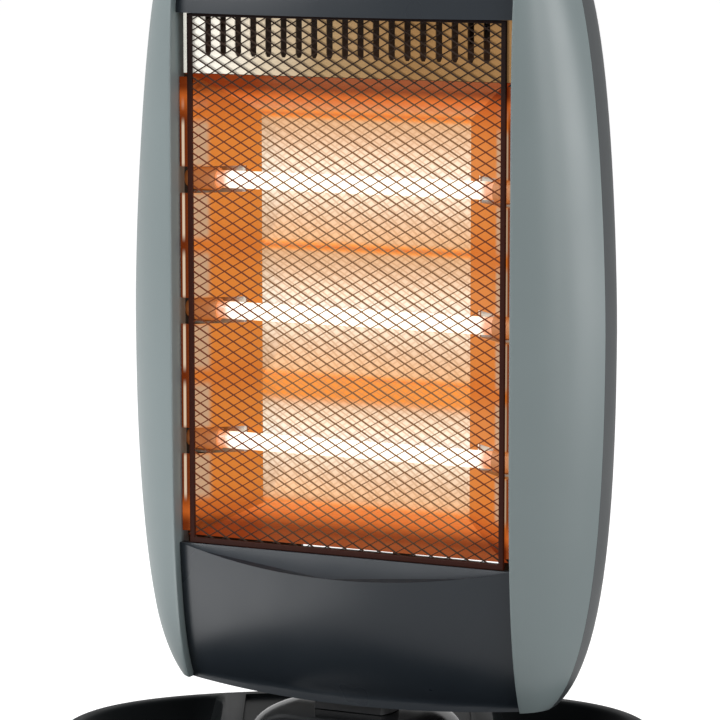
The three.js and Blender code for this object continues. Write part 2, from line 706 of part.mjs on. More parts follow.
// Everything outside the right wing's face, moved outwards by a distance, as far back as the
// crests and, past the ends of the troughs, behind them.
function besideWing(out, from, to) {
  const front = CHAMBER_FRONT - 8;
  const back = RIDGE_Y + TROUGH_DEPTH + 8;
  const troughEnd = WING_BACK_HALF + TROUGH_BEYOND;
  const outline = [
    [wingX(front) + out, front],
    [2 * MOUTH_HALF, front],
    [2 * MOUTH_HALF, back],
    [troughEnd, back],
    [troughEnd, RIDGE_Y],
    [wingX(RIDGE_Y) + out, RIDGE_Y],
  ];
  return plate(outline, to - from, "xy", from);
}

function reflector() {
  const outline = [...reflectorLine(0), ...reflectorLine(SHEET).reverse()];
  const half = WING_FRONT_HALF + 4;
  const sheet = plate(outline, 2 * half, "yz", -half);
  const beyond = besideWing(-FIT, CHAMBER_BOTTOM - 20, CHAMBER_TOP + 20);
  return cut(sheet, beyond, mirrorX(beyond));
}

function wingRight() {
  const [bottom, top] = [CHAMBER_BOTTOM + 2, CHAMBER_TOP - 2];
  const outline = [
    [wingX(CHAMBER_FRONT), CHAMBER_FRONT],
    [MOUTH_HALF - FIT, CHAMBER_FRONT],
    [MOUTH_HALF - FIT, CHAMBER_FRONT + SHEET],
    [wingX(CHAMBER_FRONT + SHEET) + WING_ACROSS, CHAMBER_FRONT + SHEET],
    [wingX(WING_BACK) + WING_ACROSS, WING_BACK],
    [wingX(WING_BACK), WING_BACK],
  ];
  const sheet = plate(outline, top - bottom, "xy", bottom);
  const notches = [0, 1, 2].map((i) =>
    box(
      [wingX(LAMP_Y + TUBE_RADIUS + 2), MOUTH_HALF],
      [CHAMBER_FRONT - 1, WING_BACK + 1],
      [lampZ(i) - WING_NOTCH / 2, lampZ(i) + WING_NOTCH / 2],
    ),
  );
  return cut(sheet, ...notches);
}

const CAP_INNER = TUBE_HALF - CAP_BITE;
const CAP_OUTER = CAP_INNER + CAP_LENGTH;
const BRACKET_Y = LAMP_Y + CAP_RADIUS + FIT;

// Upright sheet that carries the lamp ends, folded back along its outer side.
function bracketRight() {
  const outer = CAP_OUTER + 4;
  const inner = outer - BRACKET_WIDTH;
  const [bottom, top] = [lampZ(2) - 30, lampZ(0) + 30];
  const web = box([inner, outer], [BRACKET_Y, BRACKET_Y + 1.2], [bottom, top]);
  const fold = box([outer - 1.2, outer], [BRACKET_Y, BRACKET_Y + 10], [bottom, top]);
  const clips = [0, 1, 2].flatMap((i) =>
    [-1, 1].map((side) => {
      const z = lampZ(i) + side * (CAP_RADIUS + FIT + 0.6);
      return box([CAP_INNER + 5, CAP_OUTER - 5], [LAMP_Y - 3, BRACKET_Y + 0.6], [z - 0.6, z + 0.6]);
    }),
  );
  return union(web, fold, ...clips).intersect(besideWing(WING_ACROSS + 2 * FIT, bottom - 1, top + 1));
}

function lampCap(i, side) {
  const bite = CAP_BITE + FIT;
  const bore = TUBE_RADIUS + FIT;
  const profile = [
    [0, bite],
    [bore, bite],
    [bore, 0],
    [CAP_RADIUS, 0],
    [CAP_RADIUS, CAP_LENGTH - 3],
    [CAP_RADIUS - 2, CAP_LENGTH],
    [0, CAP_LENGTH],
  ];
  const cap = turned(profile, 12, { lying: true, at: [CAP_INNER, LAMP_Y, lampZ(i)] });
  return side < 0 ? mirrorX(cap) : cap;
}

const quartzTube = (i) =>
  turned(sleeve(TUBE_RADIUS - TUBE_WALL, TUBE_RADIUS, -TUBE_HALF, TUBE_HALF), 14, {
    lying: true,
    at: [0, LAMP_Y, lampZ(i)],
  });

// Coiled filament as a slim rod, with the discs that hold it in the middle of its tube.
function filament(i) {
  const profile = [[0, -FILAMENT_HALF]];
  const holder = TUBE_RADIUS - TUBE_WALL - FIT;
  for (const t of steps(FILAMENT_DISCS - 1)) {
    const x = lerp(-FILAMENT_HALF + 4, FILAMENT_HALF - 4, t);
    if (t === 0) profile.push([FILAMENT_RADIUS, -FILAMENT_HALF]);
    profile.push([FILAMENT_RADIUS, x - 0.6], [holder, x - 0.6], [holder, x + 0.6]);
    profile.push([FILAMENT_RADIUS, x + 0.6]);
  }
  profile.push([FILAMENT_RADIUS, FILAMENT_HALF], [0, FILAMENT_HALF]);
  return turned(profile, 6, { lying: true, at: [0, LAMP_Y, lampZ(i)] });
}

// ---------------------------------------------------------------- controls

const PIVOT_Z = CONTROL_FLOOR + 0.5;

function switchBody(i) {
  const x = rockerX(i);
  const y = CONTROL_MIDDLE;
  const inner = [SWITCH_HALF_X - SWITCH_RIM, SWITCH_HALF_Y - SWITCH_RIM];
  const rim = box(
    [x - SWITCH_HALF_X, x + SWITCH_HALF_X],
    [y - SWITCH_HALF_Y, y + SWITCH_HALF_Y],
    [CONTROL_FLOOR + FIT, CONTROL_FLOOR + 2.2],
  );
  const can = box(
    [x - inner[0] - 0.7, x + inner[0] + 0.7],
    [y - inner[1] - 0.7, y + inner[1] + 0.7],
    [CONTROL_FLOOR - SWITCH_DEPTH, CONTROL_FLOOR + 1],
  );
  const well = box(
    [x - inner[0], x + inner[0]],
    [y - inner[1], y + inner[1]],
    [CONTROL_FLOOR - 9, CONTROL_FLOOR + 3],
  );
  const canBottom = CONTROL_FLOOR - SWITCH_DEPTH;
  const tabs = [-5, 0, 5].map((along) =>
    box([x - 3, x + 3], [y + along - 0.4, y + along + 0.4], [canBottom - 7, canBottom + 1]),
  );
  return cut(union(rim, can, ...tabs), well);
}

// Rocker with two shallow faces, made level about its pivot and tipped by the group that holds it.
function rocker() {
  const half = ROCKER_LENGTH / 2;
  const outline = [
    [-half, ROCKER_END],
    [0, ROCKER_WAIST],
    [half, ROCKER_END],
    [half - 0.6, -1.5],
    [3.5, -6],
    [-3.5, -6],
    [-half + 0.6, -1.5],
  ];
  return plate(outline, ROCKER_WIDTH, "yz", -ROCKER_WIDTH / 2);
}

// ---------------------------------------------------------------- swivel and swing drive

function ringOf(radius, z, sides = 20) {
  return steps(sides)
    .slice(0, -1)
    .map((t) => V(radius * Math.cos(t * CIRCLE), radius * Math.sin(t * CIRCLE), z));
}

const LINK_BOTTOM = FLOOR_TOP + FIT;
const LINK_TOP = LINK_BOTTOM + LINK_THICK;
const SLOT_NEAR = Math.hypot(MOTOR_OFFSET, CRANK_RADIUS) - PIN_RADIUS - PIN_CLEARANCE;
const SLOT_FAR = MOTOR_OFFSET + CRANK_RADIUS + PIN_RADIUS + PIN_CLEARANCE;

// Slotted arm that stands still on the post while the head swings round it.
function swingLink() {
  const hub = round(POST_RADIUS + WALL, 0, 0, LINK_BOTTOM, LINK_TOP, 24);
  const arm = box([-LINK_HALF, LINK_HALF], [0, SLOT_FAR + 2.4], [LINK_BOTTOM, LINK_TOP]);
  const half = PIN_RADIUS + PIN_CLEARANCE;
  const slot = box([-half, half], [SLOT_NEAR, SLOT_FAR], [LINK_BOTTOM - 1, LINK_TOP + 1]);
  const bore = round(POST_RADIUS + FIT, 0, 0, LINK_BOTTOM - 1, LINK_TOP + 1, 24);
  return cut(union(hub, arm), slot, bore);
}

function swivelPost() {
  const flange = PLATEAU - WALL - FIT;
  const top = LINK_TOP + FIT + NUT_HEIGHT + 1;
  const profile = [
    [POST_BORE, flange - FLANGE_THICK],
    [FLANGE_RADIUS, flange - FLANGE_THICK],
    [FLANGE_RADIUS, flange],
    [POST_RADIUS, flange],
    [POST_RADIUS, top - 1],
    [POST_RADIUS - 1, top],
    [POST_BORE, top],
    [POST_BORE, flange - FLANGE_THICK],
  ];
  return turned(profile, 20);
}

function swivelNut() {
  const bottom = LINK_TOP + FIT;
  const hexagon = turned(disc(NUT_RADIUS + 1.2, bottom, bottom + NUT_HEIGHT), 6);
  return cut(hexagon, round(POST_RADIUS + FIT, 0, 0, bottom - 1, bottom + NUT_HEIGHT + 1, 24));
}

const pedestal = () => {
  const shoulder = steps(5).map((t) => {
    const angle = (t * Math.PI) / 2;
    const radius = lerp(PEDESTAL_TOP_RADIUS, PEDESTAL_RADIUS, Math.cos(angle));
    return [radius, PEDESTAL_BOTTOM + PEDESTAL_HEIGHT * Math.sin(angle)];
  });
  const bore = POST_RADIUS + FIT;
  const under = shoulder
    .slice(1, -1)
    .map(([radius, z]) => [radius - WALL, z - WALL])
    .reverse();
  const profile = [
    [PEDESTAL_RADIUS - WALL, PEDESTAL_BOTTOM],
    ...shoulder,
    [bore, PEDESTAL_TOP],
    [bore, PEDESTAL_BOTTOM],
    [bore + WALL, PEDESTAL_BOTTOM],
    [bore + WALL, PEDESTAL_TOP - WALL],
    ...under.filter(([, z]) => z > PEDESTAL_BOTTOM),
    [PEDESTAL_RADIUS - WALL, PEDESTAL_BOTTOM],
  ];
  return turned(profile, 26);
};

const CRANK_TOP = MOTOR_BOTTOM - 1;
const CRANK_BOTTOM = CRANK_TOP - CRANK_THICK;

// Crank drawn pointing along +Y from its shaft at the origin.
function crank() {
  const hub = round(6, 0, 0, CRANK_BOTTOM, CRANK_TOP, 16);
  const arm = box([-4, 4], [0, CRANK_RADIUS], [CRANK_BOTTOM, CRANK_TOP]);
  const end = round(4, 0, CRANK_RADIUS, CRANK_BOTTOM, CRANK_TOP, 12);
  const pin = round(PIN_RADIUS, 0, CRANK_RADIUS, LINK_BOTTOM + 0.5, CRANK_TOP - 1, 12);
  const bore = round(2 + FIT, 0, 0, CRANK_BOTTOM - 1, CRANK_TOP + 1, 10);
  return cut(union(hub, arm, end, pin), bore);
}

function swingMotor() {
  const can = round(MOTOR_RADIUS, 0, MOTOR_BODY_Y, MOTOR_BOTTOM, MOTOR_BOTTOM + MOTOR_HEIGHT, 20);
  const ears = box(
    [-EAR_X - 4, EAR_X + 4],
    [MOTOR_BODY_Y - 4, MOTOR_BODY_Y + 4],
    [MOTOR_BOTTOM, MOTOR_BOTTOM + 1.2],
  );
  const shaft = round(2, 0, MOTOR_OFFSET, CRANK_BOTTOM + 1, MOTOR_BOTTOM + 1, 8);
  return union(can, ears, shaft);
}

const TERMINAL_X = -64;
const TERMINAL_Y = 22;
const TERMINAL_Z = FLOOR_TOP + FIT;
const POLE_PITCH = 11;
const POLE_HALF = 4.5;
const POLE_END = POLE_PITCH + POLE_HALF;

function terminalBlock() {
  const [x, y, z] = [TERMINAL_X, TERMINAL_Y, TERMINAL_Z];
  const slab = box([x - 18, x + 18], [y - 9, y + 9], [z, z + 5]);
  const middles = [-1, 0, 1].map((i) => x + i * POLE_PITCH);
  const poles = middles.map((mid) =>
    box([mid - POLE_HALF, mid + POLE_HALF], [y - 8, y + 8], [z + 4, z + 14]),
  );
  const wells = middles.map((mid) => round(2, mid, y, z + 8, z + 15, 8));
  return cut(union(slab, ...poles), ...wells);
}

const overheatCutout = () => {
  const back = RIDGE_Y + TROUGH_DEPTH + SHEET + FIT;
  const body = plate(ringOf(8, 0, 12).map((p) => [p.x, p.y + LAMP_MIDDLE]), 7, "xz", back);
  const ears = box([-14, 14], [back, back + 1.2], [LAMP_MIDDLE - 3, LAMP_MIDDLE + 3]);
  const tabs = [-4, 4].map((x) =>
    box([x - 0.4, x + 0.4], [back + 6, back + 14], [LAMP_MIDDLE - 3, LAMP_MIDDLE + 3]),
  );
  return union(body, ears, ...tabs);
};

const LEAD_RADIUS = 1.3;

// Lead from the lowest lamp end on one side down to the terminal block.
function lampLead(side) {
  const z = TERMINAL_Z + 10;
  const from = V(side * (CAP_OUTER + 2 * FIT), LAMP_Y, lampZ(2));
  const end = TERMINAL_X + side * (POLE_END + 2 * FIT);
  const behindMotor = MOTOR_BODY_Y + MOTOR_RADIUS;
  const across =
    side < 0
      ? [V(end - 10, TERMINAL_Y + 3, z + 8)]
      : [V(EAR_X - 5, behindMotor + 9, z + 34), V(1 - EAR_X, behindMotor + 1, z + 12)];
  const route = new THREE.CatmullRomCurve3([
    from,
    V(from.x + side * 5, LAMP_Y, lampZ(2) - 2),
    V(from.x + side * 8, LAMP_Y + 6, lampZ(2) - 30),
    V(side * (CAP_OUTER + 1), SEAM_Y + 5, FLOOR_TOP + 56),
    V(side * (CAP_OUTER - 7), SEAM_Y + 15, FLOOR_TOP + 28),
    ...across,
    V(end + side * 4, TERMINAL_Y, z),
    V(end, TERMINAL_Y, z),
  ]);
  return tubeAlong(route, LEAD_RADIUS, 6, side < 0 ? 13 : 19);
}

// Places of the rear screws: across and up.
const SCREW_PLACES = [-1, 1].flatMap((side) => [
  [side * (MOUTH_HALF + LOWER_SCREW_OUT), HEAD_FOOT + LOWER_SCREW_UP],
  [side * (MOUTH_HALF + UPPER_SCREW_OUT), LID_SEAM - UPPER_SCREW_DOWN],
]);

// Depth of the back surface at a place.
function backSurfaceY(x, z) {
  const start = SEAM_Y + REAR_FLAT;
  const aside = (Math.abs(x) / halfWidthAt(z)) ** BACK_POWER;
  return start + (backYAt(z) - start) * (1 - aside) ** (1 / BACK_POWER);
}

const screwSeat = (x, z) => backSurfaceY(x, z) - SCREW_SINK;

// A round piece along +Y.
function roundY(profile, sides, x, z) {
  const points = profile.map(([radius, along]) => new THREE.Vector2(radius, along));
  const geometry = new THREE.LatheGeometry(points, sides);
  geometry.translate(x, 0, z);
  return solid(geometry);
}

function rearScrew([x, z]) {
  const seat = screwSeat(x, z) + FIT;
  const profile = [
    [0, seat - 16],
    [1.8, seat - 16],
    [1.8, seat],
    [3.6, seat],
    [3.6, seat + 2.2],
    [0, seat + 2.2],
  ];
  return roundY(profile, 10, x, z);
}

// Post behind a cheek that takes a rear screw.
function cheekPost([x, z]) {
  const end = screwSeat(x, z) - WALL - FIT;
  const bottom = end - 20;
  const bore = 1.8 + FIT;
  const profile = [
    [0, SEAM_Y - FRONT_REACH],
    [POST_OUTER, SEAM_Y - FRONT_REACH],
    [POST_OUTER, end],
    [bore, end],
    [bore, bottom],
    [0, bottom],
  ];
  return roundY(profile, 8, x, z);
}

// ---------------------------------------------------------------- base

const ovalPoint = (angle, halfWidth, halfDepth, z) => {
  const [c, s] = [Math.cos(angle), Math.sin(angle)];
  return V(
    halfWidth * Math.sign(c) * Math.abs(c) ** (2 / BASE_POWER),
    halfDepth * Math.sign(s) * Math.abs(s) ** (2 / BASE_POWER),
    z,
  );
};

const ovalRing = (inset, z, sides = 40) =>
  steps(sides)
    .slice(0, -1)
    .map((t) => ovalPoint(t * CIRCLE, BASE_HALF_WIDTH - inset, BASE_HALF_DEPTH - inset, z));

// Right-hand tray outline: the oval drawn in by the lip, closed by the saddle, corners rounded.
function trayRing(inset, z, sides = 30) {
  const [a, b] = [BASE_HALF_WIDTH - BASE_LIP - inset, BASE_HALF_DEPTH - BASE_LIP - inset];
  const saddle = SADDLE_HALF + inset;
  const middle = (saddle + a) / 2;
  const reach = (x, y) => {
    const oval = ((Math.abs(x) / a) ** BASE_POWER + (Math.abs(y) / b) ** BASE_POWER) ** (1 / BASE_POWER);
    const wall = Math.max(0, (middle - x) / (middle - saddle));
    return (oval ** 14 + wall ** 14) ** (1 / 14);
  };
  return steps(sides)
    .slice(0, -1)
    .map((t) => {
      const [dx, dy] = [Math.cos(t * CIRCLE), Math.sin(t * CIRCLE)];
      let [near, far] = [0, BASE_HALF_WIDTH];
      for (let i = 0; i < 30; i += 1) {
        const half = (near + far) / 2;
        if (reach(middle + dx * half, dy * half) < 1) near = half;
        else far = half;
      }
      return V(middle + dx * near, dy * near, z);
    });
}

const SHELL_BOTTOM = FOOT_HEIGHT - 0.6;
const TRAY_FLOOR = BASE_HEIGHT - TRAY_DEPTH;
const PLATE_TOP = FOOT_HEIGHT + PLATE_THICK;
const PLATE_INSET = BASE_TUCK + WALL + FIT;
const plungerHole = (grow, from, to) => round(PLUNGER_RADIUS + grow, PLUNGER_X, PLUNGER_Y, from, to);

function baseShell() {
  const side = loft([
    ovalRing(BASE_TUCK, SHELL_BOTTOM),
    ovalRing(1, 9),
    ovalRing(0, 17),
    ovalRing(0.8, 23),
    ovalRing(3, 26.6),
    ovalRing(5.5, BASE_HEIGHT),
  ]);
  const tray = loft([
    trayRing(TRAY_DRAFT + 3, TRAY_FLOOR),
    trayRing(TRAY_DRAFT, TRAY_FLOOR + 2.5),
    trayRing(1.2, BASE_HEIGHT - 1.2),
    trayRing(-0.4, BASE_HEIGHT + 0.2),
  ]);
  const plateauHalf = SADDLE_HALF - SADDLE_LIP;
  const plateau = loft([ovalRing(BASE_LIP, PLATEAU, 36), ovalRing(BASE_LIP - 1, BASE_HEIGHT + 1, 36)]);
  const middle = box(
    [-plateauHalf, plateauHalf],
    [-BASE_HALF_DEPTH, BASE_HALF_DEPTH],
    [PLATEAU, BASE_HEIGHT + 1],
  );
  const under = loft([
    ovalRing(PLATE_INSET - FIT, SHELL_BOTTOM - 1),
    ovalRing(PLATE_INSET - FIT, TRAY_FLOOR - WALL),
  ]);
  const well = loft([
    ovalRing(BASE_LIP + 4, TRAY_FLOOR - WALL - 1, 36),
    ovalRing(BASE_LIP + 6, PLATEAU - WALL, 36),
  ]);
  const wellHalf = SADDLE_HALF - WALL;
  const wellSides = box([-wellHalf, wellHalf], [-BASE_HALF_DEPTH, BASE_HALF_DEPTH], [0, PLATEAU - WALL]);
  const postHole = round(POST_RADIUS + FIT, 0, 0, PLATEAU - WALL - 1, BASE_HEIGHT + 1, 24);
  const glandHole = roundY(
    [
      [0, GLAND_INSIDE - 4],
      [GLAND_RADIUS + FIT, GLAND_INSIDE - 4],
      [GLAND_RADIUS + FIT, GLAND_SHOULDER - FIT],
      [GLAND_RADIUS + 2.4 + FIT, GLAND_SHOULDER - FIT],
      [GLAND_RADIUS + 2.4 + FIT, BASE_HALF_DEPTH + 8],
      [0, BASE_HALF_DEPTH + 8],
    ],
    14,
    0,
    GLAND_Z,
  );
  const shell = cut(
    side,
    tray,
    mirrorX(tray),
    plateau.intersect(middle),
    under,
    well.intersect(wellSides),
    postHole,
    glandHole,
  );
  const bosses = PLATE_SCREWS.map(([x, y]) => round(5, x, y, PLATE_TOP + FIT, PLATEAU - 1, 10));
  const pilots = PLATE_SCREWS.map(([x, y]) => round(1.7 + FIT, x, y, PLATE_TOP - 1, PLATE_TOP + 12, 8));
  return cut(union(shell, ...bosses), ...pilots);
}

const GLAND_INSIDE = BASE_HALF_DEPTH - BASE_LIP - 9;
const GLAND_SHOULDER = BASE_HALF_DEPTH - 4;

function cordGland() {
  const bore = GLAND_RADIUS - 3.2;
  const outside = BASE_HALF_DEPTH - 0.6;
  const profile = [
    [bore, GLAND_INSIDE],
    [GLAND_RADIUS, GLAND_INSIDE],
    [GLAND_RADIUS, GLAND_SHOULDER],
    [GLAND_RADIUS + 2.4, GLAND_SHOULDER],
    [GLAND_RADIUS + 1.6, outside],
    [bore, outside],
    [bore, GLAND_INSIDE],
  ];
  return roundY(profile, 14, 0, GLAND_Z);
}

const PLATE_SCREWS = [-1, 1].flatMap((side) => [
  [side * PLATE_SCREW_X, BASE_HALF_DEPTH - PLATE_SCREW_EDGE],
  [side * PLATE_SCREW_X, PLATE_SCREW_EDGE - BASE_HALF_DEPTH],
]);

function basePlate() {
  const sheet = loft([ovalRing(PLATE_INSET, FOOT_HEIGHT), ovalRing(PLATE_INSET, PLATE_TOP)]);
  const screwHoles = PLATE_SCREWS.map(([x, y]) => round(2.2, x, y, 0, PLATE_TOP + 1, 8));
  return cut(sheet, plungerHole(RUN, 0, PLATE_TOP + 1), ...screwHoles);
}

const foot = (x, y) =>
  turned(
    [
      [0, 0],
      [FOOT_RADIUS - 1, 0],
      [FOOT_RADIUS, 1],
      [FOOT_RADIUS, FOOT_HEIGHT - FIT],
      [0, FOOT_HEIGHT - FIT],
    ],
    14,
    { at: [x, y, 0] },
  );

const baseScrew = (x, y) =>
  turned(
    [
      [0, FOOT_HEIGHT - FIT - 2],
      [3.4, FOOT_HEIGHT - FIT - 2],
      [3.4, FOOT_HEIGHT - FIT],
      [1.7, FOOT_HEIGHT - FIT],
      [1.7, FOOT_HEIGHT + 12],
      [0, FOOT_HEIGHT + 12],
    ],
    8,
    { at: [x, y, 0] },
  );

const TIP_SHELF = PLATE_TOP + FIT;
const TIP_TOP = TIP_SHELF + 15;

function tipSwitch() {
  const outer = box([PLUNGER_X - 12, PLUNGER_X + 12], [PLUNGER_Y - 8, PLUNGER_Y + 8], [TIP_SHELF, TIP_TOP]);
  const bore = plungerHole(2.4, TIP_SHELF - 1, TIP_TOP - 2);
  return cut(outer, bore);
}

const COLLAR_BOTTOM = TIP_SHELF + PLUNGER_TRAVEL + 0.6;

const tipPlunger = () =>
  turned(
    [
      [0, 0],
      [PLUNGER_RADIUS - 0.8, 0],
      [PLUNGER_RADIUS, 1],
      [PLUNGER_RADIUS, COLLAR_BOTTOM],
      [PLUNGER_RADIUS + 1.8, COLLAR_BOTTOM],
      [PLUNGER_RADIUS + 1.8, COLLAR_BOTTOM + 1],
      [0, COLLAR_BOTTOM + 1],
    ],
    12,
    { at: [PLUNGER_X, PLUNGER_Y, 0] },
  );

const SPRING_BOTTOM = COLLAR_BOTTOM + 1 + FIT;
const SPRING_TOP = TIP_TOP - 2 - FIT;

class Helix extends THREE.Curve {
  getPoint(t) {
    const angle = t * SPRING_TURNS * CIRCLE;
    const radius = PLUNGER_RADIUS + 0.9;
    const z = lerp(SPRING_BOTTOM + SPRING_WIRE / 2, SPRING_TOP - SPRING_WIRE / 2, t);
    return V(PLUNGER_X + radius * Math.cos(angle), PLUNGER_Y + radius * Math.sin(angle), z);
  }
}

const tipSpring = () => tubeAlong(new Helix(), SPRING_WIRE / 2, 5, SPRING_TURNS * 8);

// Least clear distance between one turn of the spring and the rest, on points half a turn or more
// apart.
function leastGap() {
  const points = new Helix().getPoints(SPRING_TURNS * 24);
  const apart = points.flatMap((p, i) => points.slice(i + 12).map((q) => p.distanceTo(q)));
  return Math.min(...apart) - SPRING_WIRE;
}

console.log(`tip spring: least gap to itself ${leastGap().toFixed(2)} mm`);

// ---------------------------------------------------------------- assembly

const heater = new THREE.Group();

const base = new THREE.Group();
heater.add(base);
node(base, "base_shell", baseShell(), FINISH.graphite);
node(base, "base_plate", basePlate(), FINISH.steel);
node(base, "swivel_pedestal", pedestal(), FINISH.glossBlack);
node(base, "swivel_post", swivelPost(), FINISH.blackPlastic);
node(base, "swing_link", swingLink(), FINISH.whitePlastic);
node(base, "swivel_nut", swivelNut(), FINISH.steel);
node(base, "cord_gland", cordGland(), FINISH.rubber);
node(base, "tip_switch_body", tipSwitch(), FINISH.blackPlastic);
node(base, "tip_plunger", tipPlunger(), FINISH.whitePlastic);
node(base, "tip_spring", tipSpring(), FINISH.steel);
[-1, 1]
  .flatMap((side) => [[side * FOOT_X, -FOOT_Y], [side * FOOT_X, FOOT_Y]])
  .forEach(([x, y], i) => node(base, `foot_${i + 1}`, foot(x, y), FINISH.rubber));
PLATE_SCREWS.forEach(([x, y], i) => {
  node(base, `base_screw_${i + 1}`, baseScrew(x, y), FINISH.steel);
});

const head = new THREE.Group();
head.rotation.z = radians(HEAD_TURN);
heater.add(head);
const cheek = cheekRight();
node(head, "cheek_right", cheek, FINISH.silverGrey);
node(head, "cheek_left", mirrorX(cheek), FINISH.silverGrey);
node(head, "lower_panel", lowerPanel(), FINISH.darkGrey);
node(head, "brow_panel", browPanel(), FINISH.darkGrey);
node(head, "top_cover", topCover(), FINISH.darkGrey);
node(head, "rear_cover", rearCover(), FINISH.graphite);
node(head, "bottom_cover", bottomCover(), FINISH.blackPlastic);
SCREW_PLACES.forEach((place, i) => {
  node(head, `rear_screw_${i + 1}`, rearScrew(place), FINISH.steel);
});

node(head, "mesh_guard", meshGuard(), FINISH.guardSteel);
node(head, "vent_strip", ventStrip(), FINISH.polished);
node(head, "reflector", reflector(), FINISH.polished);
const wing = wingRight();
node(head, "reflector_wing_right", wing, FINISH.polished);
node(head, "reflector_wing_left", mirrorX(wing), FINISH.polished);
const bracket = bracketRight();
node(head, "lamp_bracket_right", bracket, FINISH.steel);
node(head, "lamp_bracket_left", mirrorX(bracket), FINISH.steel);
[0, 1, 2].forEach((i) => {
  node(head, `quartz_tube_${i + 1}`, quartzTube(i), FINISH.quartz);
  node(head, `filament_${i + 1}`, filament(i), FINISH.filament);
  node(head, `lamp_cap_left_${i + 1}`, lampCap(i, -1), FINISH.ceramic);
  node(head, `lamp_cap_right_${i + 1}`, lampCap(i, 1), FINISH.ceramic);
});
node(head, "lamp_lead_left", lampLead(-1), FINISH.wire);
node(head, "lamp_lead_right", lampLead(1), FINISH.wire);
node(head, "overheat_cutout", overheatCutout(), FINISH.steel);
node(head, "terminal_block", terminalBlock(), FINISH.whitePlastic);
node(head, "swing_motor", swingMotor(), FINISH.steel);

// The crank stands where it puts its pin in the link's slot at this turn of the head.
const drive = new THREE.Group();
drive.position.y = MOTOR_OFFSET;
drive.rotation.z = radians((-HEAD_TURN * CRANK_HALF) / SWING_HALF);
head.add(drive);
node(drive, "swing_crank", crank(), FINISH.whitePlastic);

// Both heat switches are on, with their front edges down. The swing switch is off.
["heat", "heat", "swing"].forEach((kind, i) => {
  const name = kind === "heat" ? `heat_rocker_${i + 1}` : "swing_rocker";
  const pivot = new THREE.Group();
  pivot.position.set(rockerX(i), CONTROL_MIDDLE, PIVOT_Z);
  pivot.rotation.x = radians(kind === "heat" ? ROCKER_THROW : -ROCKER_THROW);
  head.add(pivot);
  node(head, `switch_body_${i + 1}`, switchBody(i), FINISH.blackPlastic);
  node(pivot, name, rocker(), FINISH.blackPlastic);
});

export default heater;
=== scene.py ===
import json
import math

import bmesh
import bpy
from mathutils import Matrix, Vector

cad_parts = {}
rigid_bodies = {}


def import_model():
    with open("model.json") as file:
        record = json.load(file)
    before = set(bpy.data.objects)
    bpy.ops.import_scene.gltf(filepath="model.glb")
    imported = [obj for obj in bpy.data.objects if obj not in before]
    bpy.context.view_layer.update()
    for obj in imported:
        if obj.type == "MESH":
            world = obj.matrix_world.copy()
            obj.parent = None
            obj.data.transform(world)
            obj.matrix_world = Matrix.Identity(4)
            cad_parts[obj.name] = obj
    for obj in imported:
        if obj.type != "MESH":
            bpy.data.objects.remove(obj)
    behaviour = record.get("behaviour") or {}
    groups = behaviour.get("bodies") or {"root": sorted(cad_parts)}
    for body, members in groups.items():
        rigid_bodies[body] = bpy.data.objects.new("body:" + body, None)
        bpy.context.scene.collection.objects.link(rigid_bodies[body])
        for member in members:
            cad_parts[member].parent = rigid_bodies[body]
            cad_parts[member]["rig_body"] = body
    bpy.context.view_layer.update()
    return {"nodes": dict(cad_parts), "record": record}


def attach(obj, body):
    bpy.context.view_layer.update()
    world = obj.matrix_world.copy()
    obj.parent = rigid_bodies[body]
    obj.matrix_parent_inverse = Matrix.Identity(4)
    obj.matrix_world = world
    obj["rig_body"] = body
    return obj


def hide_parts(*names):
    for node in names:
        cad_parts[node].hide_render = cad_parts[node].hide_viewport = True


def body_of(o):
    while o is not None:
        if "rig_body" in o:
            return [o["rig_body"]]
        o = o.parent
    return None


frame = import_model()
nodes = frame["nodes"]

MM = 0.001
HEAD_TURN = math.radians(-25)  # the head stands turned on its base
HEAD = Matrix.Rotation(HEAD_TURN, 4, "Z")


# ------------------------------------------------------------------ materials

NOISE_LOW, NOISE_HIGH = 0.15, 0.85  # nearly all of a noise lies between these


